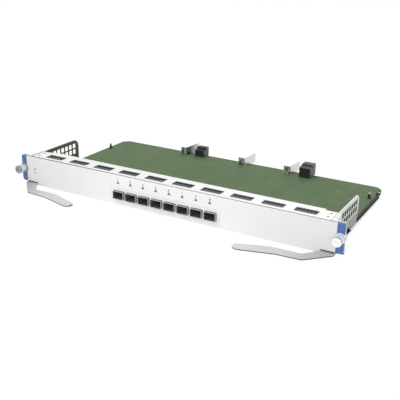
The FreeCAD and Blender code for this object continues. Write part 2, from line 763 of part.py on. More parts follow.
# End brackets: aluminium castings behind the panel's ends. Two tenons hold the
# block to the side bracket, the ear carries the thumbscrew, the foot the lever.
end = new_piece("right_end_bracket")
block_end = "panel_width / 2 - block_inset"
block_front_x = f"{BRACKET_OUTER} + block_front_width"
grow(end, outline(end, "XY", EAR_LOW, [
    (BRACKET_OUTER, "panel_sheet"),
    (block_end, "panel_sheet"),
    (block_end, "ear_front + ear_sheet"),
    (block_front_x, "ear_front + ear_sheet"),
    (f"{BRACKET_OUTER} + block_back_width", "block_back"),
    (BRACKET_OUTER, "block_back"),
]), f"panel_height - {EAR_LOW}")
grow(end, outline(end, "XZ", "ear_front", [
    (f"{block_front_x} - ear_root", EAR_LOW),
    (EAR_END, EAR_LOW, "ear_round"),
    (EAR_END, "panel_height", "ear_round"),
    (f"{block_front_x} - ear_root", "panel_height"),
]), "ear_sheet")
grow(end, outline(end, "XY", EAR_LOW, [
    (f"{PIVOT_X} - foot_radius", "pivot_y - foot_radius", "foot_corner"),
    (f"{BRACKET_OUTER} + ear_root", "pivot_y - foot_radius"),
    (f"{BRACKET_OUTER} + ear_root", "pivot_y + foot_radius"),
    (f"{PIVOT_X} - foot_radius", "pivot_y + foot_radius", "foot_corner"),
]), f"{BOARD_BOTTOM} - {EAR_LOW}")
tenon = grow(end, rectangle(
    end, "YZ", f"{BRACKET_INNER} - tenon_proud",
    ("tenon_first_y", "tenon_low_z"), ("tenon_first_y + tenon_length", "tenon_low_z + tenon_height")),
    "tenon_proud + bracket_sheet + fuse")
repeat(end, [tenon], "Y", "tenon_pitch", "tenon_count")
cut(end, circles(end, "XY", EAR_LOW, [(PIVOT_X, "pivot_y", "pivot_radius + press_gap")]),
    f"{BOARD_BOTTOM} - {EAR_LOW}")
cut(end, circles(end, "XZ", "ear_front", [(SCREW_X, "screw_axis_z", "ferrule_neck")]), "ear_sheet")
cut(end, circles(end, "XZ", "panel_sheet", [
    (SCREW_X, "screw_axis_z", "ferrule_radius + ferrule_gap")]), "ear_front - panel_sheet")
mirror_piece(end, "left_end_bracket")


def end_cover(label, low, high, corner_low, corner_high, twin):
    """A moulded cover on the ear, hollowed round the ferrule."""
    cover = new_piece(label)
    grow(cover, outline(cover, "XZ", "-cover_proud", [
        ("panel_width / 2 + cover_gap", low),
        (EAR_END, low) + corner_low,
        (EAR_END, high) + corner_high,
        ("panel_width / 2 + cover_gap", high),
    ]), "ear_front + cover_proud")
    soften(cover, "Chamfer", "cover_soften", lambda spot: near(spot.y, "-cover_proud"))
    cut(cover, circles(cover, "XZ", "-cover_proud", [
        (SCREW_X, "screw_axis_z", "ferrule_radius + cover_gap")]), "ear_front + cover_proud")
    mirror_piece(cover, twin)


end_cover("right_upper_cover", "screw_axis_z + cover_split", "panel_height", (), ("ear_round",),
          "left_upper_cover")
end_cover("right_lower_cover", f"{EAR_LOW} + cover_gap", "screw_axis_z - cover_split",
          ("cover_lower_round",), (), "left_lower_cover")

# Captive thumbscrews: a ferrule pressed into the ear guides the knob's barrel,
# and a coil spring on the shank pushes the knob out through a washer.
ferrule = new_piece("right_screw_ferrule", x=SCREW_X, z="screw_axis_z")
turn(ferrule, outline(ferrule, "XY", "0", [
    ("ferrule_bore", "-ferrule_proud"),
    ("ferrule_radius", "-ferrule_proud"),
    ("ferrule_radius", "ear_front"),
    ("ferrule_neck - press_gap", "ear_front"),
    ("ferrule_neck - press_gap", "ear_front + ear_sheet"),
    ("shank_radius + shank_gap", "ear_front + ear_sheet"),
    ("shank_radius + shank_gap", SEAT_BACK),
    ("ferrule_bore", SEAT_BACK),
]), "Y")
mirror_piece(ferrule, "left_screw_ferrule")

knob = new_piece("right_captive_screw", x=SCREW_X, z="screw_axis_z")
turn(knob, outline(knob, "XY", "0", [
    ("0", "knob_dish_depth - knob_front"),
    ("knob_dish", "knob_dish_depth - knob_front"),
    ("knob_dish", "-knob_front"),
    ("knob_radius", "-knob_front"),
    ("knob_radius", "knob_length - knob_front"),
    (BARREL_RADIUS, "knob_length - knob_front"),
    (BARREL_RADIUS, "-barrel_back"),
    ("spring_pocket", "-barrel_back"),
    ("spring_pocket", POCKET_FRONT),
    ("shank_radius", POCKET_FRONT),
    ("shank_radius", "thread_front"),
    ("shank_radius - thread_relief", "thread_front"),
    ("shank_radius - thread_relief", "shank_back"),
    ("0", "shank_back"),
]), "Y")
groove_front = "-knob_front - over"
flute = cut(knob, outline(knob, "XZ", groove_front, [
    ("knob_radius + over", "-knurl_width"),
    ("knob_radius + over", "knurl_width"),
    ("knob_radius - knurl_depth", "0"),
]), "knob_length + 2 * over")
repeat_round(knob, [flute], "Y", "knurl_count")
cut(knob, rectangle(knob, "XZ", groove_front, ("-knob_dish", "-knob_slot_width / 2"),
                    ("knob_dish", "knob_slot_width / 2")), "over + knob_dish_depth + knob_slot_depth")
mirror_piece(knob, "left_captive_screw")

washer = new_piece("right_screw_washer", x=SCREW_X, y=POCKET_FRONT, z="screw_axis_z")
grow(washer, circles(washer, "XZ", "washer_gap", [
    ("0", "0", "spring_pocket - washer_clear"),
    ("0", "0", "shank_radius + washer_clear")]), "washer_thickness")
mirror_piece(washer, "left_screw_washer")

coil = new_piece("right_screw_spring", x=SCREW_X, z="screw_axis_z")
coil_start = f"({POCKET_FRONT} + washer_gap + washer_thickness + coil_gap)"
coil_end = f"({SEAT_BACK} - coil_gap)"
coil_middle = "(spring_pocket + shank_radius) / 2"
helix = coil.newObject("PartDesign::AdditiveHelix", "Helix")
helix.Profile = rectangle(
    coil, "XY", "0", (f"{coil_middle} - coil_wire / 2", coil_start),
    (f"{coil_middle} + coil_wire / 2", f"{coil_start} + coil_wire"))
helix.ReferenceAxis = (origin_part(coil, "Y_Axis"), [""])
helix.Mode = "height-turns-angle"
helix.setExpression("Height", bind(f"{coil_end} - coil_wire - {coil_start}"))
helix.setExpression("Turns", bind("coil_turns"))
settle(coil, helix)
mirror_piece(coil, "left_screw_spring")

# Ejector levers: flat cast bars that turn on a headed pin under the end
# bracket. A claw reaches sideways past the ear and the handle runs inwards.
lever = new_piece("right_ejector_lever", x=PIVOT_X, y="pivot_y")
grow(lever, outline(lever, "XY", "lever_low", [
    ("-hub_reach", "hub_back", "hub_back_round"),
    ("-hub_front_reach", "-hub_front", "hub_front_round"),
    ("lever_elbow_x", "lever_elbow_y", "lever_elbow_round"),
    ("lever_knee_x", "lever_knee_y", "lever_knee_round"),
    ("lever_tip_x", "lever_tip_y", "lever_tip_round"),
    ("lever_tip_x + lever_tip_slant", "lever_tip_y - lever_tip_depth", "lever_tip_round"),
    ("lever_tip_x + lever_tip_across", "lever_tip_y - lever_tip_drop", "lever_tip_round"),
    ("lever_knee_x + lever_knee_across", "lever_knee_y - lever_knee_depth", "lever_knee_round"),
    ("lever_elbow_x + lever_elbow_across", "lever_elbow_y - lever_elbow_depth", "lever_elbow_round"),
    ("shoulder_reach", "shoulder_y", "lever_elbow_round"),
    ("shoulder_reach", "claw_front"),
    ("claw_reach", "claw_front + claw_slope", "claw_round"),
    ("claw_reach", "claw_back", "claw_round"),
    ("claw_gap_reach", "claw_back"),
    ("claw_gap_reach", "claw_gap_back"),
    ("claw_back_reach", "claw_gap_back"),
    ("claw_back_reach", "hub_back", "claw_round"),
]), "lever_thickness")
cut(lever, circles(lever, "XY", "lever_low", [("0", "0", "pivot_radius + pivot_gap")]), "lever_thickness")
cut(lever, circles(lever, "XY", "lever_low", [("0", "0", "pivot_head + pivot_gap")]),
    "pivot_head_height + pivot_gap")
cut(lever, rectangle(
    lever, "YZ", "lever_tip_x",
    ("lever_tip_y - tip_hollow_front", "lever_low + tip_hollow_wall"),
    ("lever_tip_y - tip_hollow_back", f"{LEVER_TOP} - tip_hollow_wall")), "tip_hollow_depth")
mirror_piece(lever, "left_ejector_lever")

pivot = new_piece("right_lever_pivot", x=PIVOT_X, y="pivot_y")
turn(pivot, outline(pivot, "XZ", "0", [
    ("0", "lever_low"),
    ("pivot_head", "lever_low"),
    ("pivot_head", "lever_low + pivot_head_height"),
    ("pivot_radius", "lever_low + pivot_head_height"),
    ("pivot_radius", BOARD_BOTTOM),
    ("0", BOARD_BOTTOM),
]), "Z")
mirror_piece(pivot, "left_lever_pivot")

# Transceiver cages: folded sheet boxes on the board that stand out through the
# panel. A gasket frame behind the panel goes round each, the top is slit into
# fingers and the floor is open over the connector.
connector_back = "(cage_length - cage_wall - connector_clear)"
connector_front = f"({connector_back} - connector_depth)"
for number in range(1, SIZES["port_count"] + 1):
    place_x = f"({PORT_FIRST_X} + {number - 1} * {PORT_PITCH})"
    cage = new_piece(f"port_cage_{number}", x=place_x, z=BOARD_TOP)
    half = "cage_width / 2"
    grow(cage, outline(cage, "XZ", "-cage_proud", [
        (f"-{half}", "0"),
        (half, "0"),
        (half, "cage_height - cage_corner"),
        (f"{half} - cage_corner", "cage_height"),
        (f"cage_corner - {half}", "cage_height"),
        (f"-{half}", "cage_height - cage_corner"),
    ]), "cage_proud + cage_length")
    grow(cage, rectangle(
        cage, "XZ", "panel_sheet",
        (f"-{half} - gasket_reach", "0"),
        (f"{half} + gasket_reach", "cage_height + gasket_reach")), "gasket_length")
    cut(cage, rectangle(
        cage, "XZ", "-cage_proud",
        (f"cage_wall - {half}", "cage_wall"),
        (f"{half} - cage_wall", "cage_height - cage_wall")), "cage_proud + cage_length - cage_wall")
    cut(cage, rectangle(
        cage, "XY", "0",
        ("-connector_width / 2 - cage_floor_gap", f"{connector_front} - cage_floor_gap"),
        ("connector_width / 2 + cage_floor_gap", "cage_length - cage_wall")), "cage_wall")
    slit = cut(cage, rectangle(
        cage, "XY", "cage_height - cage_wall",
        (f"finger_margin - {half}", "finger_slit_from"),
        (f"finger_margin - {half} + finger_slit", "finger_slit_from + finger_slit_length")), "cage_wall")
    repeat(cage, [slit], "X",
           "(cage_width - 2 * finger_margin - finger_slit) / finger_count", "finger_count + 1")

    plug = new_piece(f"port_connector_{number}", x=place_x)
    grow(plug, outline(plug, "YZ", "-connector_width / 2", [
        (connector_front, BOARD_TOP),
        (connector_back, BOARD_TOP),
        (connector_back, f"{BOARD_TOP} + connector_height - connector_bevel"),
        (f"{connector_back} - connector_bevel", f"{BOARD_TOP} + connector_height"),
        (connector_front, f"{BOARD_TOP} + connector_height"),
    ]), "connector_width")
    cut(plug, rectangle(
        plug, "XZ", connector_front,
        ("-card_slot_width / 2", f"{BOARD_TOP} + card_slot_up"),
        ("card_slot_width / 2", f"{BOARD_TOP} + card_slot_up + card_slot_height")), "card_slot_depth")

# Light pipes: one clear moulding. Triangular rods fill the panel's windows, run
# back over the cages and turn down to the board at a bevelled mirror face.
pipes = new_piece("light_pipe_bar", x=INDICATOR_X, separate=True)
leg_front = f"{PIPE_LEG_Y} - pipe_leg / 2"
leg_back = f"{PIPE_LEG_Y} + pipe_leg / 2"
rod = grow(pipes, outline(pipes, "XZ", "-pipe_proud", [
    ("sqrt(3) * pipe_gap - indicator_width / 2", f"{INDICATOR_LOW} + pipe_gap"),
    ("indicator_width / 2 - sqrt(3) * pipe_gap", f"{INDICATOR_LOW} + pipe_gap"),
    ("0", f"{INDICATOR_HIGH} - 2 * pipe_gap"),
]), f"pipe_proud + {leg_front} + fuse")
leg = grow(pipes, outline(pipes, "YZ", "-pipe_leg / 2", [
    (leg_front, BOARD_TOP),
    (leg_back, BOARD_TOP),
    (leg_back, f"{INDICATOR_HIGH} - pipe_leg"),
    (leg_front, INDICATOR_HIGH),
]), "pipe_leg")
repeat(pipes, [rod, leg], "X", PORT_PITCH, "port_count")
grow(pipes, rectangle(
    pipes, "YZ", "-pipe_bar_depth / 2",
    ("pipe_bar_from", f"{INDICATOR_Z} - pipe_bar_height / 2"),
    ("pipe_bar_from + pipe_bar_depth", f"{INDICATOR_Z} + pipe_bar_height / 2")),
    f"(port_count - 1) * {PORT_PITCH} + pipe_bar_depth")

# Status light: a round stud in the panel's left hole, with a square foot
# against the back of the panel.
status = new_piece("status_light_pipe", x=STATUS_X, z="status_z")
grow(status, rectangle(
    status, "XZ", "panel_sheet", ("-pipe_leg", "-pipe_leg"), ("pipe_leg", "pipe_leg")), "pipe_leg")
grow(status, circles(status, "XZ", "-pipe_proud", [("0", "0", "status_radius - pipe_gap")]),
     "pipe_proud + panel_sheet + fuse")

# Interface chips: two square packages with a metal lid.
chip_y = f"({leg_back} + chip_clear + chip_side / 2)"
for label, place_x in (("left_interface_chip", "-chip_x"), ("right_interface_chip", "chip_x")):
    chip = new_piece(label, x=place_x, y=chip_y)
    for low_z, half_side, height in (
            (BOARD_TOP, "chip_side / 2", "chip_height"),
            (f"{BOARD_TOP} + chip_height", "(chip_side / 2 - chip_lid_inset)", "chip_lid_height")):
        grow(chip, rectangle(
            chip, "XY", low_z, (f"-{half_side}", f"-{half_side}"), (half_side, half_side)), height)

# Guide brackets: sheet blades folded back off a wing that faces the front. A
# foot stands on the board and the blade reaches past its rear edge.
for side_name in ("left", "middle", "right"):
    guide = new_piece(f"{side_name}_guide_bracket",
                      x=f"guide_{side_name}_x", y=f"({BOARD_BACK} - guide_stand)", z=BOARD_TOP)
    grow(guide, outline(guide, "XY", "0", [
        ("0", "0"),
        ("guide_wing", "0", "guide_bend"),
        ("guide_wing", "guide_length"),
        ("guide_wing - guide_sheet", "guide_length"),
        ("guide_wing - guide_sheet", "guide_sheet", "guide_bend - guide_sheet"),
        ("0", "guide_sheet"),
    ]), "guide_height")
    grow(guide, rectangle(
        guide, "XY", "0",
        ("guide_wing - guide_foot_width", "guide_foot_from"),
        ("guide_wing - guide_sheet / 2", "guide_foot_from + guide_foot_length")), "guide_sheet")
    grow(guide, rectangle(
        guide, "YZ", "guide_wing - guide_sheet",
        ("guide_stand + guide_drop_gap", "-guide_drop"),
        ("guide_length", "fuse")), "guide_sheet")
    cut(guide, outline(guide, "YZ", "0", [
        ("guide_sheet", "guide_height + over"),
        ("guide_sheet", "guide_height"),
        ("guide_length - guide_nose", "guide_height - guide_fall"),
        ("guide_length + over", "guide_height - guide_fall - guide_nose_fall"),
        ("guide_length + over", "guide_height + over"),
    ]), "guide_wing")

# Rear connectors: a stepped power block with four blade slots and a ribbed
# signal block with a field of contact holes, both open to the rear.
power = new_piece("power_connector", x="power_x", y=f"({BOARD_BACK} - power_stand)", z=BOARD_TOP)
grow(power, outline(power, "YZ", "0", [
    ("0", "0"),
    ("power_length", "0"),
    ("power_length", "power_height"),
    ("power_step + power_groove", "power_height"),
    ("power_step + power_groove", "power_height - power_groove_depth"),
    ("power_step", "power_height - power_groove_depth"),
    ("power_step", "power_height - power_lip"),
    ("0", "power_height - power_front_drop"),
]), "power_width")
first_blade_x = "(power_width - (power_blade_count - 1) * power_blade_pitch - power_blade_width) / 2"
blade = cut(power, rectangle(
    power, "XZ", "power_length - power_blade_depth",
    (first_blade_x, "power_blade_low"),
    (f"{first_blade_x} + power_blade_width", "power_blade_low + power_blade_height")), "power_blade_depth")
repeat(power, [blade], "X", "power_blade_pitch", "power_blade_count")

signal = new_piece("signal_connector", x="signal_x", y=f"({BOARD_BACK} - signal_stand)", z=BOARD_TOP)
signal_front_height = "signal_height - signal_front_drop"
grow(signal, outline(signal, "YZ", "0", [
    ("0", "0"),
    ("signal_length", "0"),
    ("signal_length", "signal_height"),
    ("signal_step", "signal_height"),
    ("signal_step", signal_front_height),
    ("0", signal_front_height),
]), "signal_width")
first_groove_x = "(signal_width - (signal_groove_count - 1) * signal_groove_pitch - signal_groove_width) / 2"
groove = cut(signal, rectangle(
    signal, "XZ", "signal_step - over",
    (first_groove_x, "signal_height - signal_groove_depth"),
    (f"{first_groove_x} + signal_groove_width", "signal_height")),
    "signal_length - signal_step + over - signal_tail")
repeat(signal, [groove], "X", "signal_groove_pitch", "signal_groove_count")
first_contact_x = "(signal_width - (signal_hole_columns - 1) * signal_hole_pitch - signal_hole_side) / 2"
contact = cut(signal, rectangle(
    signal, "XZ", "signal_length - signal_hole_depth",
    (first_contact_x, "signal_hole_low"),
    (f"{first_contact_x} + signal_hole_side", "signal_hole_low + signal_hole_side")), "signal_hole_depth")
repeat(signal, [contact], "X", "signal_hole_pitch", "signal_hole_columns",
       "Z", "signal_hole_pitch", "signal_hole_rows")

# Guide posts: turned pins with a brass tip on the board near its long edges.
post_x = f"({BOARD_HALF} - post_inset)"
posts = new_piece("guide_posts", x=f"-{post_x}", y=f"({BOARD_BACK} - post_stand)", z=BOARD_TOP, separate=True)
post = turn(posts, outline(posts, "XZ", "0", [
    ("0", "0"),
    ("post_radius", "0"),
    ("post_radius", "post_height - post_tip_height"),
    ("post_tip_radius", "post_height - post_tip_height"),
    ("post_tip_radius", "post_height"),
    ("0", "post_height"),
]), "Z")
repeat(posts, [post], "X", f"2 * {post_x}", "end_count")

# Edge rails: toothed insulating strips between tray and board.
edge_rail = new_piece("right_edge_rail")
rail_outer = f"({BOARD_HALF} - rail_inset)"
rail_front = f"({FOOT_TAB_FRONT} + tab_length + rail_gap)"
rail_back = f"({TRAY_BACK} - rail_back_inset)"
grow(edge_rail, rectangle(
    edge_rail, "XY", "tray_sheet",
    (f"{rail_outer} - rail_width", rail_front), (rail_outer, rail_back)), "board_up")
tooth = grow(edge_rail, rectangle(
    edge_rail, "XY", "tray_sheet", (f"{rail_outer} - fuse", rail_front),
    (f"{rail_outer} + rail_tooth_reach", f"{rail_front} + rail_tooth_width")), "board_up")
repeat(edge_rail, [tooth], "Y",
       f"({rail_back} - {rail_front} - rail_tooth_width) / (rail_tooth_count - 1)", "rail_tooth_count")
mirror_piece(edge_rail, "left_edge_rail")

# Every object and every piece is checked, then each piece is written out.
doc.recompute()
for item in doc.Objects:
    if "Invalid" in item.State or "Error" in item.State:
        raise RuntimeError(f"{item.Label} did not build")
for piece in pieces:
    if piece.Shape.isNull() or not piece.Shape.isValid() or not piece.Shape.Solids:
        raise RuntimeError(f"{piece.Label} is not a valid solid")
os.makedirs("parts", exist_ok=True)
for piece in pieces:
    piece.Shape.exportStep(f"parts/{piece.Label}.step")
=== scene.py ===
import math

import bpy
import numpy as np
from mathutils import Matrix, Vector


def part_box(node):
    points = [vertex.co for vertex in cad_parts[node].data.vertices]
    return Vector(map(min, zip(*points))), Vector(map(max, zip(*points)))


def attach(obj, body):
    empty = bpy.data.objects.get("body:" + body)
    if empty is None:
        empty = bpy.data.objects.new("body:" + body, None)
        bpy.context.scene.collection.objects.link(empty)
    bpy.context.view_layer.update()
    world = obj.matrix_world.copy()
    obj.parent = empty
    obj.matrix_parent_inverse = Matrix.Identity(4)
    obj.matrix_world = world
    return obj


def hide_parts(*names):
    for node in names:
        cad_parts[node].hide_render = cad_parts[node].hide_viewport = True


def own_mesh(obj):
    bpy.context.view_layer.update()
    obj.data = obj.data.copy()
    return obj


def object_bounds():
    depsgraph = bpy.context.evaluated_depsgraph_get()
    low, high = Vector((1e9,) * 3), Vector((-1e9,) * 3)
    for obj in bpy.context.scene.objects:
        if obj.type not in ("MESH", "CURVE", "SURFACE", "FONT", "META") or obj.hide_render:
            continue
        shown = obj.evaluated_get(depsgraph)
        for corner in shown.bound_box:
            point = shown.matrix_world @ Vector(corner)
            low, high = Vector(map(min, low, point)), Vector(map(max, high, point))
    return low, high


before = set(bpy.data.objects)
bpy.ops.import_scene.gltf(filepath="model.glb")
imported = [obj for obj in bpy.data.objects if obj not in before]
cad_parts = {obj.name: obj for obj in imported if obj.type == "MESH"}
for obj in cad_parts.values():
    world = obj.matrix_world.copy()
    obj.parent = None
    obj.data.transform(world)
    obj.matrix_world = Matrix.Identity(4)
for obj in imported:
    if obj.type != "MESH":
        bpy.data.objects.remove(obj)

cad_low, cad_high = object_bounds()

# Studio: the card stands on a plain white table in front of a white backdrop.
# The table is lit like the card and keeps its soft shadow, and a strength of
# one in the materials makes both of them white to the camera.
table_half = 6.0
table_tone = (0.86, 0.86, 0.86, 1)


def put(tree, kind, inputs=None, **settings):
    """One shader node of that kind: its settings are set, and each named input gets a number,
    a colour, or a link from another node's output."""
    made = tree.nodes.new(kind)
    for name, setting in settings.items():
        setattr(made, name, setting)
    for name, given in (inputs or {}).items():
        socket = made.inputs[name]
        if isinstance(given, bpy.types.NodeSocket):
            tree.links.new(given, socket)
        else:
            socket.default_value = given
    return made


def maths(operation, *terms):
    """The output of a Math node over numbers and outputs, in the outputs' own tree."""
    tree = next(term.id_data for term in terms if isinstance(term, bpy.types.NodeSocket))
    return put(tree, "ShaderNodeMath", dict(enumerate(terms)), operation=operation).outputs[0]


def seen_rays(tree):
    """One for rays from the camera, a gloss or a clear piece, nothing for light on its way."""
    path = put(tree, "ShaderNodeLightPath")
    clear = maths("MAXIMUM", path.outputs["Is Glossy Ray"], path.outputs["Is Transmission Ray"])
    return maths("MAXIMUM", path.outputs["Is Camera Ray"], clear)


world = bpy.data.worlds.new("studio_air")
bpy.context.scene.world = world
world.use_nodes = True
air = world.node_tree
air.nodes.clear()
light_air = put(air, "ShaderNodeBackground", {"Color": (0.97, 0.98, 1, 1), "Strength": 0.62})
seen_air = put(air, "ShaderNodeBackground", {"Color": (1, 1, 1, 1), "Strength": 1.0})
air_mix = put(air, "ShaderNodeMixShader", {
    0: seen_rays(air), 1: light_air.outputs[0], 2: seen_air.outputs[0]})
put(air, "ShaderNodeOutputWorld", {"Surface": air_mix.outputs[0]})

white_table = bpy.data.materials.new("white_table")
white_table.use_nodes = True
table_tree = white_table.node_tree
table_tree.nodes.clear()
table_matt = put(table_tree, "ShaderNodeBsdfDiffuse", {"Color": table_tone})
table_faint = put(table_tree, "ShaderNodeBsdfDiffuse", {"Color": (0.05, 0.05, 0.05, 1)})
table_glow = put(table_tree, "ShaderNodeEmission", {"Color": (1, 1, 1, 1), "Strength": 0.965})
table_seen = put(table_tree, "ShaderNodeAddShader", {
    0: table_faint.outputs[0], 1: table_glow.outputs[0]})
table_mix = put(table_tree, "ShaderNodeMixShader", {
    0: seen_rays(table_tree), 1: table_matt.outputs[0], 2: table_seen.outputs[0]})
put(table_tree, "ShaderNodeOutputMaterial", {"Surface": table_mix.outputs[0]})

table_mesh = bpy.data.meshes.new("table")
table_corners = np.array([(-1, -1), (1, -1), (1, 1), (-1, 1)]) * table_half
table_mesh.from_pydata([(x, y, cad_low.z - 0.0002) for x, y in table_corners], [], [(0, 1, 2, 3)])
table_mesh.materials.append(white_table)
table_top = bpy.data.objects.new("table", table_mesh)
bpy.context.scene.collection.objects.link(table_top)

for lamp_name, lamp_place, lamp_size, lamp_power in (
    ("lamp_over_left", (-0.9, -1.0, 1.9), 1.4, 17.0),
    ("lamp_front_right", (1.1, -1.9, 0.8), 1.2, 12.0),
    ("lamp_behind", (-0.3, 1.7, 1.5), 1.4, 6.0),
):
    lamp = bpy.data.lights.new(lamp_name, "AREA")
    lamp.shape = "DISK"
    lamp.size = lamp_size
    lamp.energy = lamp_power
    lamp_object = bpy.data.objects.new(lamp_name, lamp)
    lamp_object.location = lamp_place
    lamp_object.rotation_euler = (-Vector(lamp_place)).to_track_quat("-Z", "Y").to_euler()
    bpy.context.scene.collection.objects.link(lamp_object)

# Camera: it stands to the right of the card and looks down on it, with a long
# lens. Its turn, tilt and roll are the photograph's.
camera_turn, camera_tilt, camera_roll = math.radians(29.04), math.radians(21.17), math.radians(1.11)
camera_place = (0.380, -0.69575, 0.294)
focal_length, picture_width = 687, 400
level_right = Vector((math.cos(camera_turn), math.sin(camera_turn), 0))
looking = Vector((-math.sin(camera_turn) * math.cos(camera_tilt),
                  math.cos(camera_turn) * math.cos(camera_tilt), -math.sin(camera_tilt)))
level_up = level_right.cross(looking)
camera_right = math.cos(camera_roll) * level_right + math.sin(camera_roll) * level_up
camera_up = math.cos(camera_roll) * level_up - math.sin(camera_roll) * level_right
camera_data = bpy.data.cameras.new("camera")
camera_data.sensor_width = 36
camera_data.lens = camera_data.sensor_width * focal_length / picture_width
camera_data.clip_start, camera_data.clip_end = 0.05, 30
camera = bpy.data.objects.new("camera", camera_data)
camera.matrix_world = Matrix.Translation(camera_place) @ Matrix(
    (camera_right, camera_up, -looking)).transposed().to_4x4()
bpy.context.scene.collection.objects.link(camera)
bpy.context.scene.camera = camera
bpy.context.scene.view_settings.view_transform = "Standard"

# Front panel: a 1.5 mm steel sheet, powder coated off-white with a fine orange
# peel, a little greyer towards its ends. Painted shade darkens the back of its
# top edge as a thin dark line, for the shaded gap of the joint behind it.
panel_white, panel_end = "F4F4F2", "DCDCDA"
joint_shade_grey = "161618"
joint_shade_width = 0.00146
panel_low, panel_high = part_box("front_panel")


def tone(written):
    """A colour written as six hexadecimal figures, as linear light."""
    parts = np.array([int(written[i:i + 2], 16) for i in (0, 2, 4)]) / 255
    linear = np.where(parts <= 0.04045, parts / 12.92, ((parts + 0.055) / 1.055) ** 2.4)
    return (*linear, 1)


def new_group(name, inputs, outputs):
    """An empty shader group with those named sockets, and its input and output nodes."""
    group = bpy.data.node_groups.new(name, "ShaderNodeTree")
    for way, sockets in (("INPUT", inputs), ("OUTPUT", outputs)):
        for socket, kind in sockets.items():
            group.interface.new_socket(socket, in_out=way, socket_type=f"NodeSocket{kind}")
    return group, group.nodes.new("NodeGroupInput"), group.nodes.new("NodeGroupOutput")


def mixed(share, first, second):
    """Two colours mixed: share 0 gives the first, share 1 the second."""
    return put(share.id_data, "ShaderNodeMix", {0: share, 6: first, 7: second}, data_type="RGBA").outputs[2]


def axes(vector):
    """The X, Y and Z of a vector output."""
    return tuple(put(vector.id_data, "ShaderNodeSeparateXYZ", {0: vector}).outputs)


def times(*shares):
    """The product of two or more shares."""
    product = shares[0]
    for share in shares[1:]:
        product = maths("MULTIPLY", product, share)
    return product


def ramp(number, start, end, most=1.0):
    """Nothing up to the start, then an even rise to most at the end, and most beyond it."""
    return put(number.id_data, "ShaderNodeMapRange", {
        "Value": number, "From Min": start, "From Max": end, "To Max": most}).outputs[0]


def facing_axes(tree):
    """The X, Y and Z of the surface's normal."""
    return axes(put(tree, "ShaderNodeNewGeometry").outputs["Normal"])


# Coat grain: small even bumps for paint, plating and moulded skins, with a
# slower wander that changes the gloss from place to place.
coat_grain, grain_in, grain_out = new_group(
    "coat_grain", {"Vector": "Vector", "Scale": "Float", "Smooth": "Float", "Rough": "Float"},
    {"Roughness": "Float", "Height": "Float"})
fine = put(coat_grain, "ShaderNodeTexNoise", {
    "Vector": grain_in.outputs["Vector"], "Scale": grain_in.outputs["Scale"], "Detail": 2.0})
slow_scale = times(grain_in.outputs["Scale"], 0.04)
slow = put(coat_grain, "ShaderNodeTexNoise", {
    "Vector": grain_in.outputs["Vector"], "Scale": slow_scale, "Detail": 3.0})
gloss_share = maths("ADD", times(fine.outputs[0], 0.35), times(slow.outputs[0], 0.65))
gloss_range = put(coat_grain, "ShaderNodeMapRange", {
    "Value": gloss_share, "From Min": 0.35, "From Max": 0.65,
    "To Min": grain_in.outputs["Smooth"], "To Max": grain_in.outputs["Rough"]})
coat_grain.links.new(gloss_range.outputs[0], grain_out.inputs["Roughness"])
coat_grain.links.new(fine.outputs[0], grain_out.inputs["Height"])

# Handled tone: the colour wanders a little over the piece, and dust greys the
# faces that look up.
handled_tone, tone_in, tone_out = new_group(
    "handled_tone", {"Vector": "Vector", "Color": "Color", "Dark": "Color", "Wander": "Float",
                     "Scale": "Float", "Dust": "Float"}, {"Color": "Color"})
clouds = put(handled_tone, "ShaderNodeTexNoise", {
    "Vector": tone_in.outputs["Vector"], "Scale": tone_in.outputs["Scale"], "Detail": 4.0})
cloud_share = times(clouds.outputs[0], tone_in.outputs["Wander"])
wandered = mixed(cloud_share, tone_in.outputs["Color"], tone_in.outputs["Dark"])
looks_up = ramp(facing_axes(handled_tone)[2], 0.6, 1.0)
specks = put(handled_tone, "ShaderNodeTexNoise", {
    "Vector": tone_in.outputs["Vector"], "Scale": 900.0, "Detail": 3.0})
settled = times(looks_up, specks.outputs[0], tone_in.outputs["Dust"])
handled_tone.links.new(mixed(settled, wandered, (0.55, 0.54, 0.52, 1)), tone_out.inputs["Color"])


def new_finish(name, colour, dark, gloss, grain, bump, metal=0.0, wander=0.4, drift=25.0,
               dust=0.05, stretch=(1, 1, 1), **plain):
    """A material with both groups: colour wanders towards dark, roughness runs between the two
    gloss numbers, the grain's height bumps the surface, and plain goes to the shader as it is.
    Returns it with its shader, its object coordinates and its colour output, so that a piece
    can add marks of its own."""
    material = bpy.data.materials.new(name)
    material.use_nodes = True
    tree = material.node_tree
    tree.nodes.clear()
    place = put(tree, "ShaderNodeTexCoord").outputs["Object"]
    along = put(tree, "ShaderNodeMapping", {"Vector": place, "Scale": stretch}).outputs[0]
    grained = put(tree, "ShaderNodeGroup", node_tree=coat_grain)
    handled = put(tree, "ShaderNodeGroup", node_tree=handled_tone)
    for group, given in ((grained, {"Vector": along, "Scale": grain, "Smooth": gloss[0], "Rough": gloss[1]}),
                         (handled, {"Vector": place, "Color": tone(colour), "Dark": tone(dark),
                                    "Wander": wander, "Scale": drift, "Dust": dust})):
        for socket, setting in given.items():
            if isinstance(setting, bpy.types.NodeSocket):
                tree.links.new(setting, group.inputs[socket])
            else:
                group.inputs[socket].default_value = setting
    bumped = put(tree, "ShaderNodeBump", {
        "Strength": bump, "Distance": 0.0002, "Height": grained.outputs["Height"]})
    shader = put(tree, "ShaderNodeBsdfPrincipled", {
        "Base Color": handled.outputs["Color"], "Roughness": grained.outputs["Roughness"],
        "Normal": bumped.outputs[0], "Metallic": metal, **plain})
    put(tree, "ShaderNodeOutputMaterial", {"Surface": shader.outputs[0]})
    return material, shader, place, handled.outputs["Color"]


def band(number, low, high, soft=0.00002):
    """One where the number lies between low and high, with soft ends, and nothing elsewhere."""
    return times(ramp(number, low - soft, low + soft), ramp(number, high + soft, high - soft))


def below(number, limit, soft=0.00002):
    """One where the number is less than the limit, with a soft edge."""
    return ramp(number, limit + soft, limit - soft)


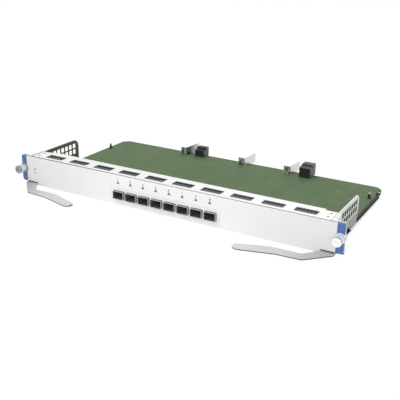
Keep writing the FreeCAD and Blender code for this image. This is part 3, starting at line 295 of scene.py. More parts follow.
def above(number, limit, soft=0.00002):
    """One where the number is more than the limit, with a soft edge."""
    return ramp(number, limit - soft, limit + soft)


def recolour(shader, colour):
    """The colour goes to the shader in place of the finish's own."""
    shader.id_data.links.new(colour, shader.inputs["Base Color"])


def coat(material, *nodes):
    """The material goes on every slot of those parts."""
    for node in nodes:
        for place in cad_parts[node].material_slots:
            place.material = material


painted, painted_shader, painted_place, painted_colour = new_finish(
    "painted_panel", panel_white, "ECECEA", (0.42, 0.55), 1400.0, 0.10, drift=9.0, dust=0.02)
painted_x, painted_y, _ = axes(painted_place)
# Painted shade: the back of the top edge is dark for the joint's shaded gap.
joint_shade_line = above(painted_y, panel_high.y - joint_shade_width)
# The colour greys a little towards both ends of the panel.
greyer_ends = maths("MAXIMUM", ramp(painted_x, -0.06, -0.20, 0.75), ramp(painted_x, 0.06, 0.20, 0.6))
ends_greyed = mixed(greyer_ends, painted_colour, tone(panel_end))
recolour(painted_shader, mixed(joint_shade_line, ends_greyed, tone(joint_shade_grey)))
coat(painted, "front_panel")

# Port numbers: screen-printed in grey ink on the panel's face, 0.02 mm thick. They
# count the ports.
ink_thickness = 0.00002
number_height, number_lift, number_weight = 0.0024, 0.0012, 0.00012
capital_share = 0.7
first_cage_low, first_cage_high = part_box("port_cage_1")
last_cage_low, last_cage_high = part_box("port_cage_8")
pipes_low, pipes_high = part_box("light_pipe_bar")
indicator_step = (last_cage_low.x - first_cage_low.x) / 7
first_indicator = (pipes_low.x + pipes_high.x) / 2 - 3.5 * indicator_step
ink, *_ = new_finish("printed_ink", "535558", "64666A", (0.5, 0.65), 3000.0, 0.05, wander=0.6,
                     drift=700.0, dust=0.0)


def new_piece(name, points, faces, material, body="card", slot=None, smooth=True):
    """A mesh object of those points and faces, which rides on the body."""
    mesh = bpy.data.meshes.new(name)
    mesh.from_pydata(np.asarray(points).reshape(-1, 3).tolist(), [], faces)
    mesh.materials.append(material)
    if smooth:
        mesh.shade_smooth()
        mesh.set_sharp_from_angle(angle=math.radians(35))
    piece = bpy.data.objects.new(name, mesh)
    bpy.context.scene.collection.objects.link(piece)
    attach(piece, body)
    return piece


def grid_faces(rows, columns):
    """Faces of a tube of rows rings with columns points each: the quads between neighbouring
    points of the grid, closed round each ring, and one face over each end."""
    i, j = np.meshgrid(np.arange(rows - 1), np.arange(columns), indexing="ij")
    after = (j + 1) % columns
    quads = np.stack((i * columns + j, i * columns + after, (i + 1) * columns + after,
                      (i + 1) * columns + j), -1).reshape(-1, 4).tolist()
    last = (rows - 1) * columns
    return quads + [list(range(columns - 1, -1, -1)), list(range(last, last + columns))]


def carried(profile, path, across):
    """A profile carried along a flat path: the point (i, j) is the path's point i, moved by the
    profile's first number along the mitred side direction there and by its second along
    across, the direction at right angles to the path's plane."""
    profile, path, across = (np.asarray(a, float) for a in (profile, path, across))
    steps = np.diff(path, axis=0)
    steps /= np.linalg.norm(steps, axis=1, keepdims=True)
    before, after = np.vstack((steps[:1], steps)), np.vstack((steps, steps[-1:]))
    mean = before + after
    mean /= np.linalg.norm(mean, axis=1, keepdims=True)
    side = np.cross(across, mean) / np.sum(mean * before, axis=1, keepdims=True)
    return path[:, None] + side[:, None] * profile[None, :, :1] + across * profile[None, :, 1:]


def repeated(points, faces, places, turns=None):
    """Copies of one form: every point is turned about Z by the copy's angle and moved to the
    copy's place, and the faces are counted on from copy to copy."""
    points, places = np.asarray(points).reshape(-1, 3), np.asarray(places, float).reshape(-1, 3)
    angle = np.zeros(len(places)) if turns is None else np.asarray(turns, float)
    c, s = np.cos(angle)[:, None], np.sin(angle)[:, None]
    x = points[None, :, 0] * c - points[None, :, 1] * s
    y = points[None, :, 0] * s + points[None, :, 1] * c
    z = np.broadcast_to(points[None, :, 2], x.shape)
    moved = np.stack((x, y, z), -1) + places[:, None]
    counted = [[k + n * len(points) for k in face] for n in range(len(places)) for face in faces]
    return moved.reshape(-1, 3), counted


def bar_section(width, height):
    """The four corners of a bar's cross-section, round its middle."""
    return np.array([(-1, -1), (1, -1), (1, 1), (-1, 1)]) * (width / 2, height / 2)


number_points, number_faces = [], []
for port in range(8):
    written = bpy.data.curves.new("port_number", "FONT")
    written.body = str(port + 1)
    written.size = number_height / capital_share
    written.align_x = "CENTER"
    written.extrude = ink_thickness / 2
    written.offset = number_weight
    carrier = bpy.data.objects.new("port_number", written)
    bpy.context.scene.collection.objects.link(carrier)
    flat = bpy.data.meshes.new_from_object(carrier.evaluated_get(bpy.context.evaluated_depsgraph_get()))
    corners = np.empty(len(flat.vertices) * 3)
    flat.vertices.foreach_get("co", corners)
    corners = corners.reshape(-1, 3)
    start = sum(map(len, number_points))
    number_points.append(np.stack((
        corners[:, 0] + first_indicator + port * indicator_step,
        panel_low.y - ink_thickness / 2 - corners[:, 2],
        corners[:, 1] + pipes_high.z + number_lift), -1))
    number_faces += [[start + v for v in face.vertices] for face in flat.polygons]
    bpy.data.objects.remove(carrier)
new_piece("port_numbers", np.vstack(number_points), number_faces, ink, slot="black_plastic", smooth=False)

# Port line: a thin rounded rectangle round the row of ports, printed in a fainter
# grey ink on the panel's face.
line_radius, line_width = 0.0020, 0.00022
line_side, line_under, line_over = 0.0028, 0.0023, 0.0022
line_left, line_right = first_cage_low.x - line_side, last_cage_high.x + line_side
line_low, line_high = first_cage_low.z - line_under, first_cage_high.z + line_over
corner_turn = np.linspace(0, math.pi / 2, 7)
corner_middles = (
    (line_right - line_radius, line_high - line_radius), (line_left + line_radius, line_high - line_radius),
    (line_left + line_radius, line_low + line_radius), (line_right - line_radius, line_low + line_radius))
line_path = np.concatenate([np.stack((
    x + line_radius * np.cos(corner_turn + quarter * math.pi / 2),
    np.full(7, panel_low.y - ink_thickness / 2),
    z + line_radius * np.sin(corner_turn + quarter * math.pi / 2)), -1)
    for quarter, (x, z) in enumerate(corner_middles)])
line_path = np.vstack((line_path, line_path[:1] - (0, 0, 0.000001)))
faint_ink, *_ = new_finish("faint_ink", "C4C5C6", "D0D1D2", (0.5, 0.65), 3000.0, 0.05, drift=700.0,
                           dust=0.0)
new_piece("port_line", carried(bar_section(line_width, ink_thickness), line_path, (0, 1, 0)),
          grid_faces(29, 4), faint_ink, slot="black_plastic", smooth=False)

# Indicator marks: a dark printed triangle round each light pipe's end, so that
# the small lights are easy to find.
mark_reach, mark_rise, mark_width, mark_drop = 0.00160, 0.0028, 0.00060, 0.00232
triangle = np.array([(0, 0, mark_rise), (-mark_reach, 0, 0), (mark_reach, 0, 0), (0, 0, mark_rise)])
triangle[[0, 3], 0] = (-0.00001, 0.00001)
mark_form = carried(bar_section(mark_width, ink_thickness), triangle, (0, 1, 0))
mark_places = [(first_indicator + port * indicator_step, panel_low.y - ink_thickness / 2,
                pipes_high.z - mark_drop) for port in range(8)]
new_piece("indicator_marks", *repeated(mark_form, grid_faces(4, 4), mark_places), ink,
          slot="black_plastic", smooth=False)

# Status mark: a small printed ring and bar above the status light at the
# panel's left end, in the same ink.
status_low, status_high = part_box("status_light_pipe")
mark_middle = ((status_low.x + status_high.x) / 2 + 0.0006, status_low.z - 0.0024)
mark_radius, mark_line = 0.0012, 0.00042
mark_angles = np.linspace(math.radians(125), math.radians(415), 25)
mark_path = np.stack((mark_middle[0] + mark_radius * np.cos(mark_angles),
                      np.full(25, panel_low.y - ink_thickness / 2),
                      mark_middle[1] + mark_radius * np.sin(mark_angles)), -1)
mark_bar = [(mark_middle[0], panel_low.y - ink_thickness / 2, mark_middle[1] + 0.0002),
            (mark_middle[0], panel_low.y - ink_thickness / 2, mark_middle[1] + 0.0015)]
mark_points = np.vstack([carried(bar_section(mark_line, ink_thickness), path, (0, 1, 0)).reshape(-1, 3)
                         for path in (mark_path, mark_bar)])
mark_faces = grid_faces(25, 4) + [[k + 100 for k in face] for face in grid_faces(2, 4)]
new_piece("status_mark", mark_points, mark_faces, ink, slot="black_plastic", smooth=False)

# Shield frame: folded steel sheet with a white passivated plating, satin, with
# the faint streaks of the rolling. Painted shade darkens a band round each slot,
# striped like the contact springs' fingers and lighter towards the right, and
# painted shade makes thin grey lines of the end joints' gaps and of the front
# bend's left part.
plated, plated_shader, plated_place, plated_colour = new_finish(
    "plated_sheet", "F3F3F1", "E4E5E4", (0.34, 0.48), 700.0, 0.05, metal=0.25, drift=14.0,
    stretch=(0.12, 1, 1))
plated_x, plated_y, plated_z = axes(plated_place)
frame_low, frame_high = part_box("shield_frame")
slot_pitch, slot_reach, slot_front, slot_back = 0.0361, 0.0124, -0.08535, -0.07845
slot_shade_front, slot_shade_back, finger_pitch = 0.0026, 0.0021, 0.00405
top_sheet, joint_gap, bend_width = 0.0009, 0.00045, 0.0011
plated_out = maths("ABSOLUTE", plated_x)
at_the_top = above(plated_z, frame_high.z - top_sheet)
# Painted shade: thin grey lines in the end joints' gaps and on the front bend, only towards the left.
end_joint_shade = times(band(plated_out, frame_high.x - joint_gap, frame_high.x),
                  below(plated_y, frame_high.y), at_the_top)
bend_shade_line = times(ramp(plated_x, -0.02, -0.13, 0.85), below(plated_y, frame_low.y + bend_width), at_the_top)
from_slot = maths("MODULO", maths("ADD", plated_x, 5 * slot_pitch), slot_pitch)
in_slot = maths("SUBTRACT", from_slot, slot_pitch / 2)
# Painted shade: a dark band round each slot, striped like the fingers and lighter to the right.
slot_shade_band = times(band(in_slot, -slot_reach, slot_reach - 0.0002),
                  band(plated_y, slot_front - slot_shade_front, slot_back + slot_shade_back),
                  below(plated_out, 4.5 * slot_pitch + slot_reach), at_the_top)
in_finger = maths("FRACT", maths("DIVIDE", maths("ADD", in_slot, slot_reach - 0.0008), finger_pitch))
on_rib = times(band(in_finger, 0.12, 0.60, 0.05), above(plated_y, slot_back - 0.0004))
lighter_rightwards = ramp(plated_x, 0.0, 0.16)
slot_shade_tone = mixed(on_rib, mixed(lighter_rightwards, tone("1E1D1F"), tone("525154")),
                    mixed(lighter_rightwards, tone("4E4D50"), tone("A2A1A4")))
shade_lined = mixed(bend_shade_line, mixed(end_joint_shade, plated_colour, tone("5A5A5B")), tone("5C5C5D"))
recolour(plated_shader, mixed(slot_shade_band, shade_lined, slot_shade_tone))
coat(plated, "shield_frame")

# Bottom tray: the same sheet, a little whiter, with a faint painted glow that
# lightens it. Beside the board's long edges it carries painted shadow as a dark
# band, where the glow is left out.
tray_painted_glow = 0.22
foam_front, foam_back, shadow_inner = (-0.0695, -0.0255), (-0.0052, 0.0975), 0.1880
tray_sheet, tray_shader, tray_place, tray_colour = new_finish(
    "tray_sheet", "FBFBFA", "F0F0EF", (0.40, 0.55), 700.0, 0.05, drift=14.0, stretch=(0.12, 1, 1),
    **{"Emission Color": tone("FFFFFF")})
tray_x, tray_y, tray_z = axes(tray_place)
tray_out = maths("ABSOLUTE", tray_x)
# Painted shadow: a dark band on the tray under the board's long edges.
edge_shadows = [times(band(tray_out, shadow_inner, shadow_end), band(tray_y, *foam))
          for foam, shadow_end in ((foam_front, 0.1943), (foam_back, 0.1928))]
edge_shadow = times(maths("ADD", *edge_shadows), above(tray_z, 0.0001))
recolour(tray_shader, mixed(edge_shadow, tray_colour, tone("1C1D1B")))
# Painted glow: emission lightens the tray everywhere but in the painted shadow.
tray_sheet.node_tree.links.new(times(maths("SUBTRACT", 1.0, edge_shadow), tray_painted_glow),
                               tray_shader.inputs["Emission Strength"])
coat(tray_sheet, "bottom_tray")

# Right side bracket: the same sheet. Painted shade greys the lower half of its
# outer face, and the walls of its punched holes are painted dark green-grey as
# shade, with the board's green as a painted reflection.
bracket_sheet, bracket_shader, bracket_place, bracket_colour = new_finish(
    "bracket_sheet", "E6E7E4", "D6D8D4", (0.34, 0.48), 700.0, 0.05, metal=0.2, drift=14.0)
_, bracket_y, bracket_z = axes(bracket_place)
bracket_facing, *_ = facing_axes(bracket_sheet.node_tree)
holes_front, holes_back, holes_bottom, holes_top = -0.0618, -0.0088, 0.0172, 0.0318
shade_line_height, shade_line_fade, outward = 0.0165, 0.003, 0.6
# Painted shade on the hole walls with the board's green reflected, and on the outer face's lower half.
hole_wall_shade = times(band(bracket_y, holes_front, holes_back), band(bracket_z, holes_bottom, holes_top),
                  band(bracket_facing, -outward, outward))
outer_face_shading = mixed(above(bracket_z, shade_line_height, shade_line_fade), tone("8C8E8A"), tone("DADCD8"))
bracket_shaded_faces = mixed(above(bracket_facing, outward), bracket_colour, outer_face_shading)
recolour(bracket_shader, mixed(hole_wall_shade, bracket_shaded_faces, tone("565C50")))
coat(bracket_sheet, "right_side_bracket")

# Left side bracket: the same sheet, coloured dark olive as painted shade, with
# the board's green painted in as a reflection in its satin plating.
shaded, *_ = new_finish(
    "plated_sheet_shaded_left", "6C7160", "575C4B", (0.36, 0.50), 700.0, 0.05, metal=0.3, drift=14.0)
coat(shaded, "left_side_bracket")

# Frame rivets: plated steel rivets, pressed flush with the frame's top and a
# little darker than the sheet.
rivet_dark, *_ = new_finish("rivet_steel", "8A8A8B", "6A6A6B", (0.3, 0.5), 2200.0, 0.1, metal=0.6,
                            drift=400.0)
coat(rivet_dark, "frame_rivets")

# Contact springs: strips of spring copper with a dull plating, folded into
# fingers that stand in the frame's slots.
springs, *_ = new_finish("spring_copper", "565456", "2C2A2C", (0.34, 0.50), 1500.0, 0.06, metal=0.25,
                         wander=0.8, drift=120.0, dust=0.0)
coat(springs, "contact_springs")

# Slot clips: the strips hook over the slots' edges with a thin folded rim,
# which lines each slot. The rim is a flat bar carried round the slot, coloured
# near black as painted shade of the slot walls.
clip_shade_copper, *_ = new_finish("clip_shade_copper", "2E2C2E", "201E20", (0.4, 0.6), 1500.0, 0.06, metal=0.2,
                             drift=120.0, dust=0.0)
clip_sheet, clip_gap, clip_height = 0.00012, 0.00002, 0.00118
clip_corners = np.array([(slot_reach, slot_front), (slot_reach, slot_back), (-slot_reach, slot_back),
                         (-slot_reach, slot_front), (slot_reach, slot_front)])
clip_inward = clip_gap + clip_sheet / 2
clip_outward = np.sign(clip_corners - (0, (slot_front + slot_back) / 2))
clip_path = np.column_stack((clip_corners - clip_outward * clip_inward,
                             np.full(5, frame_high.z - clip_height / 2 - 0.00001)))
clip_places = [((slot - 4.5) * slot_pitch, 0, 0) for slot in range(10)]
new_piece("slot_clips", *repeated(carried(bar_section(clip_sheet, clip_height), clip_path, (0, 0, 1)),
                                  grid_faces(5, 4), clip_places), clip_shade_copper,
          slot="spring_copper", smooth=False)

# Circuit board: glass laminate under a matt green solder mask. Fine tracks show
# through the mask as low ridges, and its edges are painted dark as shade.
board_low, board_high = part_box("circuit_board")
mask_green, mask_dark, edge_shade_tone = "5E7350", "54684A", "3C4230"
laminate, laminate_shader, laminate_place, laminate_colour = new_finish(
    "board_laminate", mask_green, mask_dark, (0.62, 0.78), 2600.0, 0.06, wander=0.5, drift=6.0, dust=0.02,
    **{"Specular IOR Level": 0.18})
laminate_tree = laminate.node_tree
track_patch = put(laminate_tree, "ShaderNodeTexVoronoi", {"Vector": laminate_place, "Scale": 60.0},
                  distance="MANHATTAN")
patch_parts = put(laminate_tree, "ShaderNodeSeparateColor", {0: track_patch.outputs["Color"]})
tracks_across, tracks_along = (
    put(laminate_tree, "ShaderNodeTexWave", {"Vector": laminate_place, "Scale": 180.0},
        bands_direction=way).outputs["Fac"] for way in "XY")
track_wave = put(laminate_tree, "ShaderNodeMix", {
    0: maths("GREATER_THAN", patch_parts.outputs[0], 0.5), 2: tracks_across, 3: tracks_along})
track_share = times(maths("GREATER_THAN", track_wave.outputs[0], 0.62),
                    maths("GREATER_THAN", patch_parts.outputs[1], 0.45))
tracked = mixed(times(track_share, 0.12), laminate_colour, tone("8CA07A"))
# Painted shade: the board's edges are coloured dark.
edge_shade_share = band(axes(laminate_place)[2], board_low.z + 0.0001, board_high.z - 0.0001)
recolour(laminate_shader, mixed(edge_shade_share, tracked, tone(edge_shade_tone)))
coat(laminate, "circuit_board")

# Sight hole: a small drilled hole in the board with a plated rim. The rim is a
# turned ring 0.02 mm high, and a dark disc inside it is painted shade for the
# hole's depth.
hole_x, hole_y, hole_radius, rim_radius, rim_height = -0.034, 0.04975, 0.0012, 0.0015, 0.00002


def turned(profile, middle, columns=32):
    """A turned form: point (i, j) stands at the profile's radius i and height i from the middle,
    at the angle 2 pi j / columns round the Z axis."""
    profile, angles = np.asarray(profile, float), np.arange(columns) * 2 * math.pi / columns
    ring = np.stack((np.cos(angles), np.sin(angles)), -1)
    flat_parts = profile[:, None, :1] * ring[None]
    heights = np.broadcast_to(profile[:, None, 1:], (*flat_parts.shape[:2], 1))
    return np.concatenate((flat_parts, heights), -1) + np.asarray(middle)


def ring_faces(rows, columns=32):
    """Faces of a turned ring: the profile's last point joins its first, so it has no ends."""
    last = (rows - 1) * columns
    return grid_faces(rows, columns)[:-2] + [
        [last + j, last + (j + 1) % columns, (j + 1) % columns, j] for j in range(columns)]


copper_rim, *_ = new_finish("tinned_copper", "70755C", "5C614A", (0.25, 0.4), 2000.0, 0.08, metal=1.0,
                            drift=500.0)
# Painted shade: a dark disc for the hole's depth.
hole_shade, *_ = new_finish("hole_painted_shade", "1E211C", "121411", (0.8, 0.95), 3000.0, 0.1, drift=900.0,
                           dust=0.0)
hole_middle = (hole_x, hole_y, board_high.z)
new_piece("sight_hole_rim", turned([(hole_radius, 0), (hole_radius, rim_height), (rim_radius, rim_height),
                                    (rim_radius, 0)], hole_middle), ring_faces(4), copper_rim,
          slot="guide_sheet")
new_piece("sight_hole", turned([(hole_radius, 0.000001), (hole_radius, rim_height * 0.6)], hole_middle),
          grid_faces(2, 32), hole_shade, slot="black_plastic")

# Side chips: two moulded interface chips near the ports, each with gull-wing
# leads of tinned copper soldered to the board on its four sides.
chip_black, *_ = new_finish("chip_plastic", "2B2B2D", "232325", (0.45, 0.62), 2500.0, 0.2, wander=0.5,
                            drift=60.0)
coat(chip_black, "left_interface_chip", "right_interface_chip")
lead_tin, *_ = new_finish("tinned_leads", "B9B8B4", "93928D", (0.22, 0.38), 2500.0, 0.05, metal=1.0,
                          drift=600.0)
lead_pitch, lead_width, lead_sheet, leads_on_side = 0.00127, 0.00045, 0.00015, 16
lead_path = [(-0.0001, 0, 0.00120), (0.0006, 0, 0.00120), (0.0009, 0, 0.00008), (0.0017, 0, 0.00008)]
lead_points = carried(bar_section(lead_sheet, lead_width), lead_path, (0, 1, 0))
lead_places, lead_turns = [], []
for chip in ("left_interface_chip", "right_interface_chip"):
    chip_low, chip_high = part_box(chip)
    chip_middle, chip_half = (chip_low + chip_high) / 2, (chip_high.x - chip_low.x) / 2
    for quarter in range(4):
        heading = quarter * math.pi / 2
        out = np.array((math.cos(heading), math.sin(heading)))
        along_side = np.array((-out[1], out[0]))
        offsets = (np.arange(leads_on_side) - (leads_on_side - 1) / 2) * lead_pitch
        spots = np.array(chip_middle.xy) + out * chip_half + offsets[:, None] * along_side
        lead_places.append(np.column_stack((spots, np.full(leads_on_side, board_high.z))))
        lead_turns.append(np.full(leads_on_side, heading))
new_piece("chip_leads", *repeated(lead_points, grid_faces(4, 4), np.vstack(lead_places),
                                  np.concatenate(lead_turns)), lead_tin, slot="bright_steel", smooth=False)

# Chip capacitors: small ceramic blocks in rows between the ports and the chips,
# with tinned end caps that are soldered to the board.
capacitor_length, capacitor_width, capacitor_height, cap_length = 0.0020, 0.00125, 0.0009, 0.00042
ceramic, *_ = new_finish("ceramic", "A58D6C", "8F7755", (0.4, 0.55), 3000.0, 0.1, wander=0.7, drift=300.0)


def rounded_block(length, width, height, columns=12):
    """A block with rounded sides and top: the outline is a superellipse of power 5, and the rows
    rise from the board and draw in over the top edge."""
    angles = (np.arange(columns) + 0.5) * 2 * math.pi / columns
    c, s = np.cos(angles), np.sin(angles)
    reach = (np.abs(c) ** 5 + np.abs(s) ** 5) ** -0.2
    rows = np.array([(1, 0), (1, 0.86), (0.94, 1)])
    x = rows[:, :1] * reach * c * length / 2
    y = rows[:, :1] * reach * s * width / 2
    z = np.broadcast_to(rows[:, 1:] * height, x.shape)
    return np.stack((x, y, z), -1)


capacitor_rows, row_shift, chip_near, chip_far = (-0.0446, -0.0425, -0.0146), 0.00427, 0.0270, 0.0530
capacitor_places = [(x, y, board_high.z) for y in capacitor_rows
                    for x in first_indicator + row_shift + np.arange(30) * indicator_step / 4]
capacitor_places = np.array([p for p in capacitor_places
                             if p[1] == capacitor_rows[0] or not chip_near < abs(p[0]) < chip_far])
standing = np.full(len(capacitor_places), math.pi / 2)
new_piece("capacitor_bodies", *repeated(rounded_block(
    capacitor_length - cap_length, capacitor_width * 0.96, capacitor_height * 0.96), grid_faces(3, 12),
    capacitor_places, standing), ceramic, slot="guide_sheet")
cap_block = rounded_block(cap_length, capacitor_width, capacitor_height)
cap_pair = np.concatenate([cap_block.reshape(-1, 3) + (side * (capacitor_length - cap_length) / 2, 0, 0)
                           for side in (-1, 1)])
cap_faces = grid_faces(3, 12)
new_piece("capacitor_ends", *repeated(cap_pair, cap_faces + [[k + 36 for k in face] for face in cap_faces],
                                      capacitor_places, standing), lead_tin, slot="bright_steel")

# Port cages: pressed steel boxes with a satin nickel plating that stand in the
# panel's windows. Painted shade greys their inside and the front of their top rim.
cage_metal, cage_shader, cage_place, cage_colour = new_finish(
    "cage_sheet", "BEBEBE", "A6A6A6", (0.30, 0.45), 1600.0, 0.06, metal=0.7, drift=60.0)
_, cage_y, cage_z = axes(cage_place)
cage_low, cage_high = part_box("port_cage_1")
rim_band, rim_depth, dark_from, dark_fade = 0.0009, 0.0030, 0.0014, 0.0004
# Painted shade: grey inside the cages and on the front of the top rim.
at_the_rim = above(cage_z, cage_high.z - rim_band)
rim_shaded_tone = mixed(times(at_the_rim, below(cage_y, cage_low.y + rim_depth)), cage_colour, tone("6A6A6A"))
inside_shade = times(above(cage_y, cage_low.y + dark_from, dark_fade), maths("SUBTRACT", 1.0, at_the_rim))
recolour(cage_shader, mixed(inside_shade, rim_shaded_tone, tone("8C8C8C")))
coat(cage_metal, *[f"port_cage_{port + 1}" for port in range(8)])

# Port connectors: black moulded blocks in the cages. Two rows of gold contacts
# stand in the card slot of each.
connector_black, *_ = new_finish("connector_plastic", "202020", "181818", (0.5, 0.65), 2500.0, 0.15,
                                 drift=80.0)
coat(connector_black, *[f"port_connector_{port + 1}" for port in range(8)])
gold, *_ = new_finish("contact_gold", "C9A24C", "A9822F", (0.2, 0.35), 2500.0, 0.04, metal=1.0, drift=500.0)
contact_pitch, contact_lift, contacts_in_row = 0.0008, 0.00349, 10
plug_low, plug_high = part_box("port_connector_1")
contact_sheet, contact_width = 0.00018, 0.00042
contact_path = [(0, 0.0001, 0), (0, 0.0020, 0.00028), (0, 0.0040, 0.00010), (0, 0.0068, 0)]
contact_points = carried(bar_section(contact_sheet, contact_width), contact_path, (1, 0, 0))
contact_places = [((plug_low.x + plug_high.x) / 2 + port * indicator_step
                   + (n - (contacts_in_row - 1) / 2) * contact_pitch, plug_low.y, plug_low.z + contact_lift)
                  for port in range(8) for n in range(contacts_in_row)]
new_piece("port_contacts", *repeated(contact_points, grid_faces(4, 4), contact_places), gold,
          slot="spring_copper", smooth=False)

# Light pipes: clear moulded rods from the board's lights to the panel. Their
# triangular ends show dark in the panel while the lights are off.
clear, clear_shader, clear_place, clear_colour = new_finish(
    "clear_plastic", "A9ADA9", "969B96", (0.14, 0.28), 1200.0, 0.03, wander=0.3, dust=0.03,
    **{"IOR": 1.49, "Transmission Weight": 0.3})
end_depth = 0.0006
end_face = band(axes(clear_place)[1], cad_low.y, panel_low.y + end_depth)
recolour(clear_shader, mixed(end_face, clear_colour, tone("202220")))
coat(clear, "light_pipe_bar", "status_light_pipe")

# End brackets: die-cast aluminium, blasted and clear passivated. Each stands at
# an end of the panel and carries a lever and a captive screw.
cast, *_ = new_finish("cast_aluminium", "E4E4E3", "CECFCE", (0.36, 0.52), 1800.0, 0.16, metal=0.35,
                      wander=0.6, drift=45.0)
coat(cast, "right_end_bracket", "left_end_bracket")

# Ejector levers: the same casting, with painted shade darkening them towards
# the hub and along their lower edges, and the claws are dipped in blue.
lever_metal, lever_shader, lever_place, lever_colour = new_finish(
    "lever_aluminium", "DEDEDD", "C8C9C8", (0.36, 0.52), 1800.0, 0.16, metal=0.35, wander=0.6,
    drift=45.0)
lever_x, _, lever_z = axes(lever_place)
hub_shade_start, hub_shade_end, lower_edge_shade_depth, claw_start = 0.150, 0.192, 0.0010, 0.1998
lever_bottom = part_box("right_ejector_lever")[0].z
lever_out = maths("ABSOLUTE", lever_x)
# Painted shade: darker towards the hub and along the lower edges.
hub_shaded = mixed(ramp(lever_out, hub_shade_start, hub_shade_end, 0.55), lever_colour, tone("9C9D9C"))
lower_edge_shaded = mixed(below(lever_z, lever_bottom + lower_edge_shade_depth), hub_shaded, tone("3A3C3E"))
recolour(lever_shader, mixed(above(lever_out, claw_start), lower_edge_shaded, tone("4A6CA6")))
coat(lever_metal, "right_ejector_lever", "left_ejector_lever")

# Screw ferrules: turned aluminium collars, pressed in the end brackets. The left
# one stands in the shade of the panel's end.
for side, ferrule_tone, ferrule_dark in (("right", "E6EAED", "D2D6DC"), ("left", "9CA09C", "787C78")):
    ferrule_metal, *_ = new_finish(f"ferrule_metal_{side}", ferrule_tone, ferrule_dark, (0.25, 0.4), 1600.0,
                                   0.08, metal=0.3, drift=90.0)
    coat(ferrule_metal, f"{side}_screw_ferrule")

# End covers: blue moulded caps, clipped over the bracket's ears above and below
# the screws, with a fine spark-eroded texture. The left pair is painted a little
# darker as shade.
for side, cover_name, cover_tone, cover_dark in (
        ("right", "blue_plastic", "4A72AE", "4268A0"), ("left", "blue_plastic_shaded_left", "4669A6", "3C5C95")):
    cover_blue, *_ = new_finish(cover_name, cover_tone, cover_dark, (0.38, 0.52), 2600.0, 0.22, wander=0.5,
                                drift=70.0)
    coat(cover_blue, f"{side}_upper_cover", f"{side}_lower_cover")

# Captive screws and washers: bright turned steel with fine rings from the tool.
# Each knob has a shallow dish with a slot in its face. Painted light whitens the
# right knob's face and dish, painted shade greys the left one's, and painted shade
# darkens the rim behind each face, most on the right.
turned_steel, *_ = new_finish("bright_steel", "D9D9DA", "C2C2C4", (0.16, 0.30), 1800.0, 0.05, metal=0.9,
                              drift=150.0, stretch=(1, 0.15, 1))
coat(turned_steel, "right_screw_washer", "left_screw_washer")
dish_radius, dish_floor, face_depth, rim_shade_length = 0.00345, 0.0021, 0.0001, 0.0016
for side, knob_face_painted, knob_side, knob_rim_shade_tone in (
        ("right", "FCFCFA", "E6EAF0", "2A2B2F"), ("left", "9E9CA5", "E4EAE9", "8A8F90")):
    knob_metal, knob_shader, knob_place, knob_colour = new_finish(
        f"knob_steel_painted_{side}", knob_side, knob_side, (0.30, 0.45), 1800.0, 0.05, metal=0.25, drift=150.0,
        dust=0.0)
    knob_x, knob_y, knob_z = axes(knob_place)
    knob_facing = facing_axes(knob_metal.node_tree)[1]
    knob_low, knob_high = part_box(f"{side}_captive_screw")
    knob_middle = (knob_low + knob_high) / 2
    across, upward = maths("SUBTRACT", knob_x, knob_middle.x), maths("SUBTRACT", knob_z, knob_middle.z)
    from_axis = maths("SQRT", maths("ADD", times(across, across), times(upward, upward)))
    # Painted light whitens the right face, painted shade greys the left face, and painted shade darkens the
    # rim.
    in_dish = times(below(from_axis, dish_radius), below(knob_y, knob_low.y + dish_floor))
    on_face = times(below(knob_facing, -0.7), below(knob_y, knob_low.y + face_depth))
    on_rim_shade = band(knob_y, knob_low.y + face_depth, knob_low.y + rim_shade_length)
    knob_rim_shaded = mixed(on_rim_shade, knob_colour, tone(knob_rim_shade_tone))
    recolour(knob_shader, mixed(maths("MAXIMUM", in_dish, on_face), knob_rim_shaded, tone(knob_face_painted)))
    coat(knob_metal, f"{side}_captive_screw")

# Lever pivots and board standoffs: turned from dark hardened steel. The levers
# turn on the pivots, and the board is held up by the standoffs.
pivot_steel, *_ = new_finish("dark_steel", "5A5A5C", "434345", (0.28, 0.42), 1800.0, 0.08, metal=0.9,
                             drift=200.0)
coat(pivot_steel, "right_lever_pivot", "left_lever_pivot", "board_standoffs")

# Knob springs: a coil of round spring steel on each screw's shank. It presses the
# knob out, and it closes towards the ferrule when the knob is pushed in.
coil_wire, coil_turns, push_travel = 0.0005, 4, 0.0034


def coil(radius, length):
    """A round wire wound about the Y axis: the point (u, v) is at the angle 2 pi times the turns
    times u, a radius plus half a wire times the cosine of v from the axis, and half a wire
    times one plus the sine of v, plus u times the length less the wire, along it."""
    u = np.linspace(0, 1, 32 * coil_turns + 1)[:, None]
    v = np.linspace(0, 2 * np.pi, 10, endpoint=False)[None, :]
    turned_by, out = 2 * np.pi * coil_turns * u, radius + coil_wire / 2 * np.cos(v)
    along = coil_wire / 2 * (1 + np.sin(v)) + u * (length - coil_wire)
    return np.stack((out * np.cos(turned_by), along, out * np.sin(turned_by)), -1)


for side in ("right", "left"):
    coil_low, coil_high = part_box(f"{side}_screw_spring")
    coil_foot = np.array(((coil_low.x + coil_high.x) / 2, coil_low.y, (coil_low.z + coil_high.z) / 2))
    coil_length = coil_high.y - coil_low.y
    wound = coil_foot + coil((coil_high.x - coil_low.x - coil_wire) / 2, coil_length)
    spring = new_piece(f"{side}_knob_spring", wound, grid_faces(*wound.shape[:2]), turned_steel,
                       slot="bright_steel")
    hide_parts(f"{side}_screw_spring")
    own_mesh(spring)

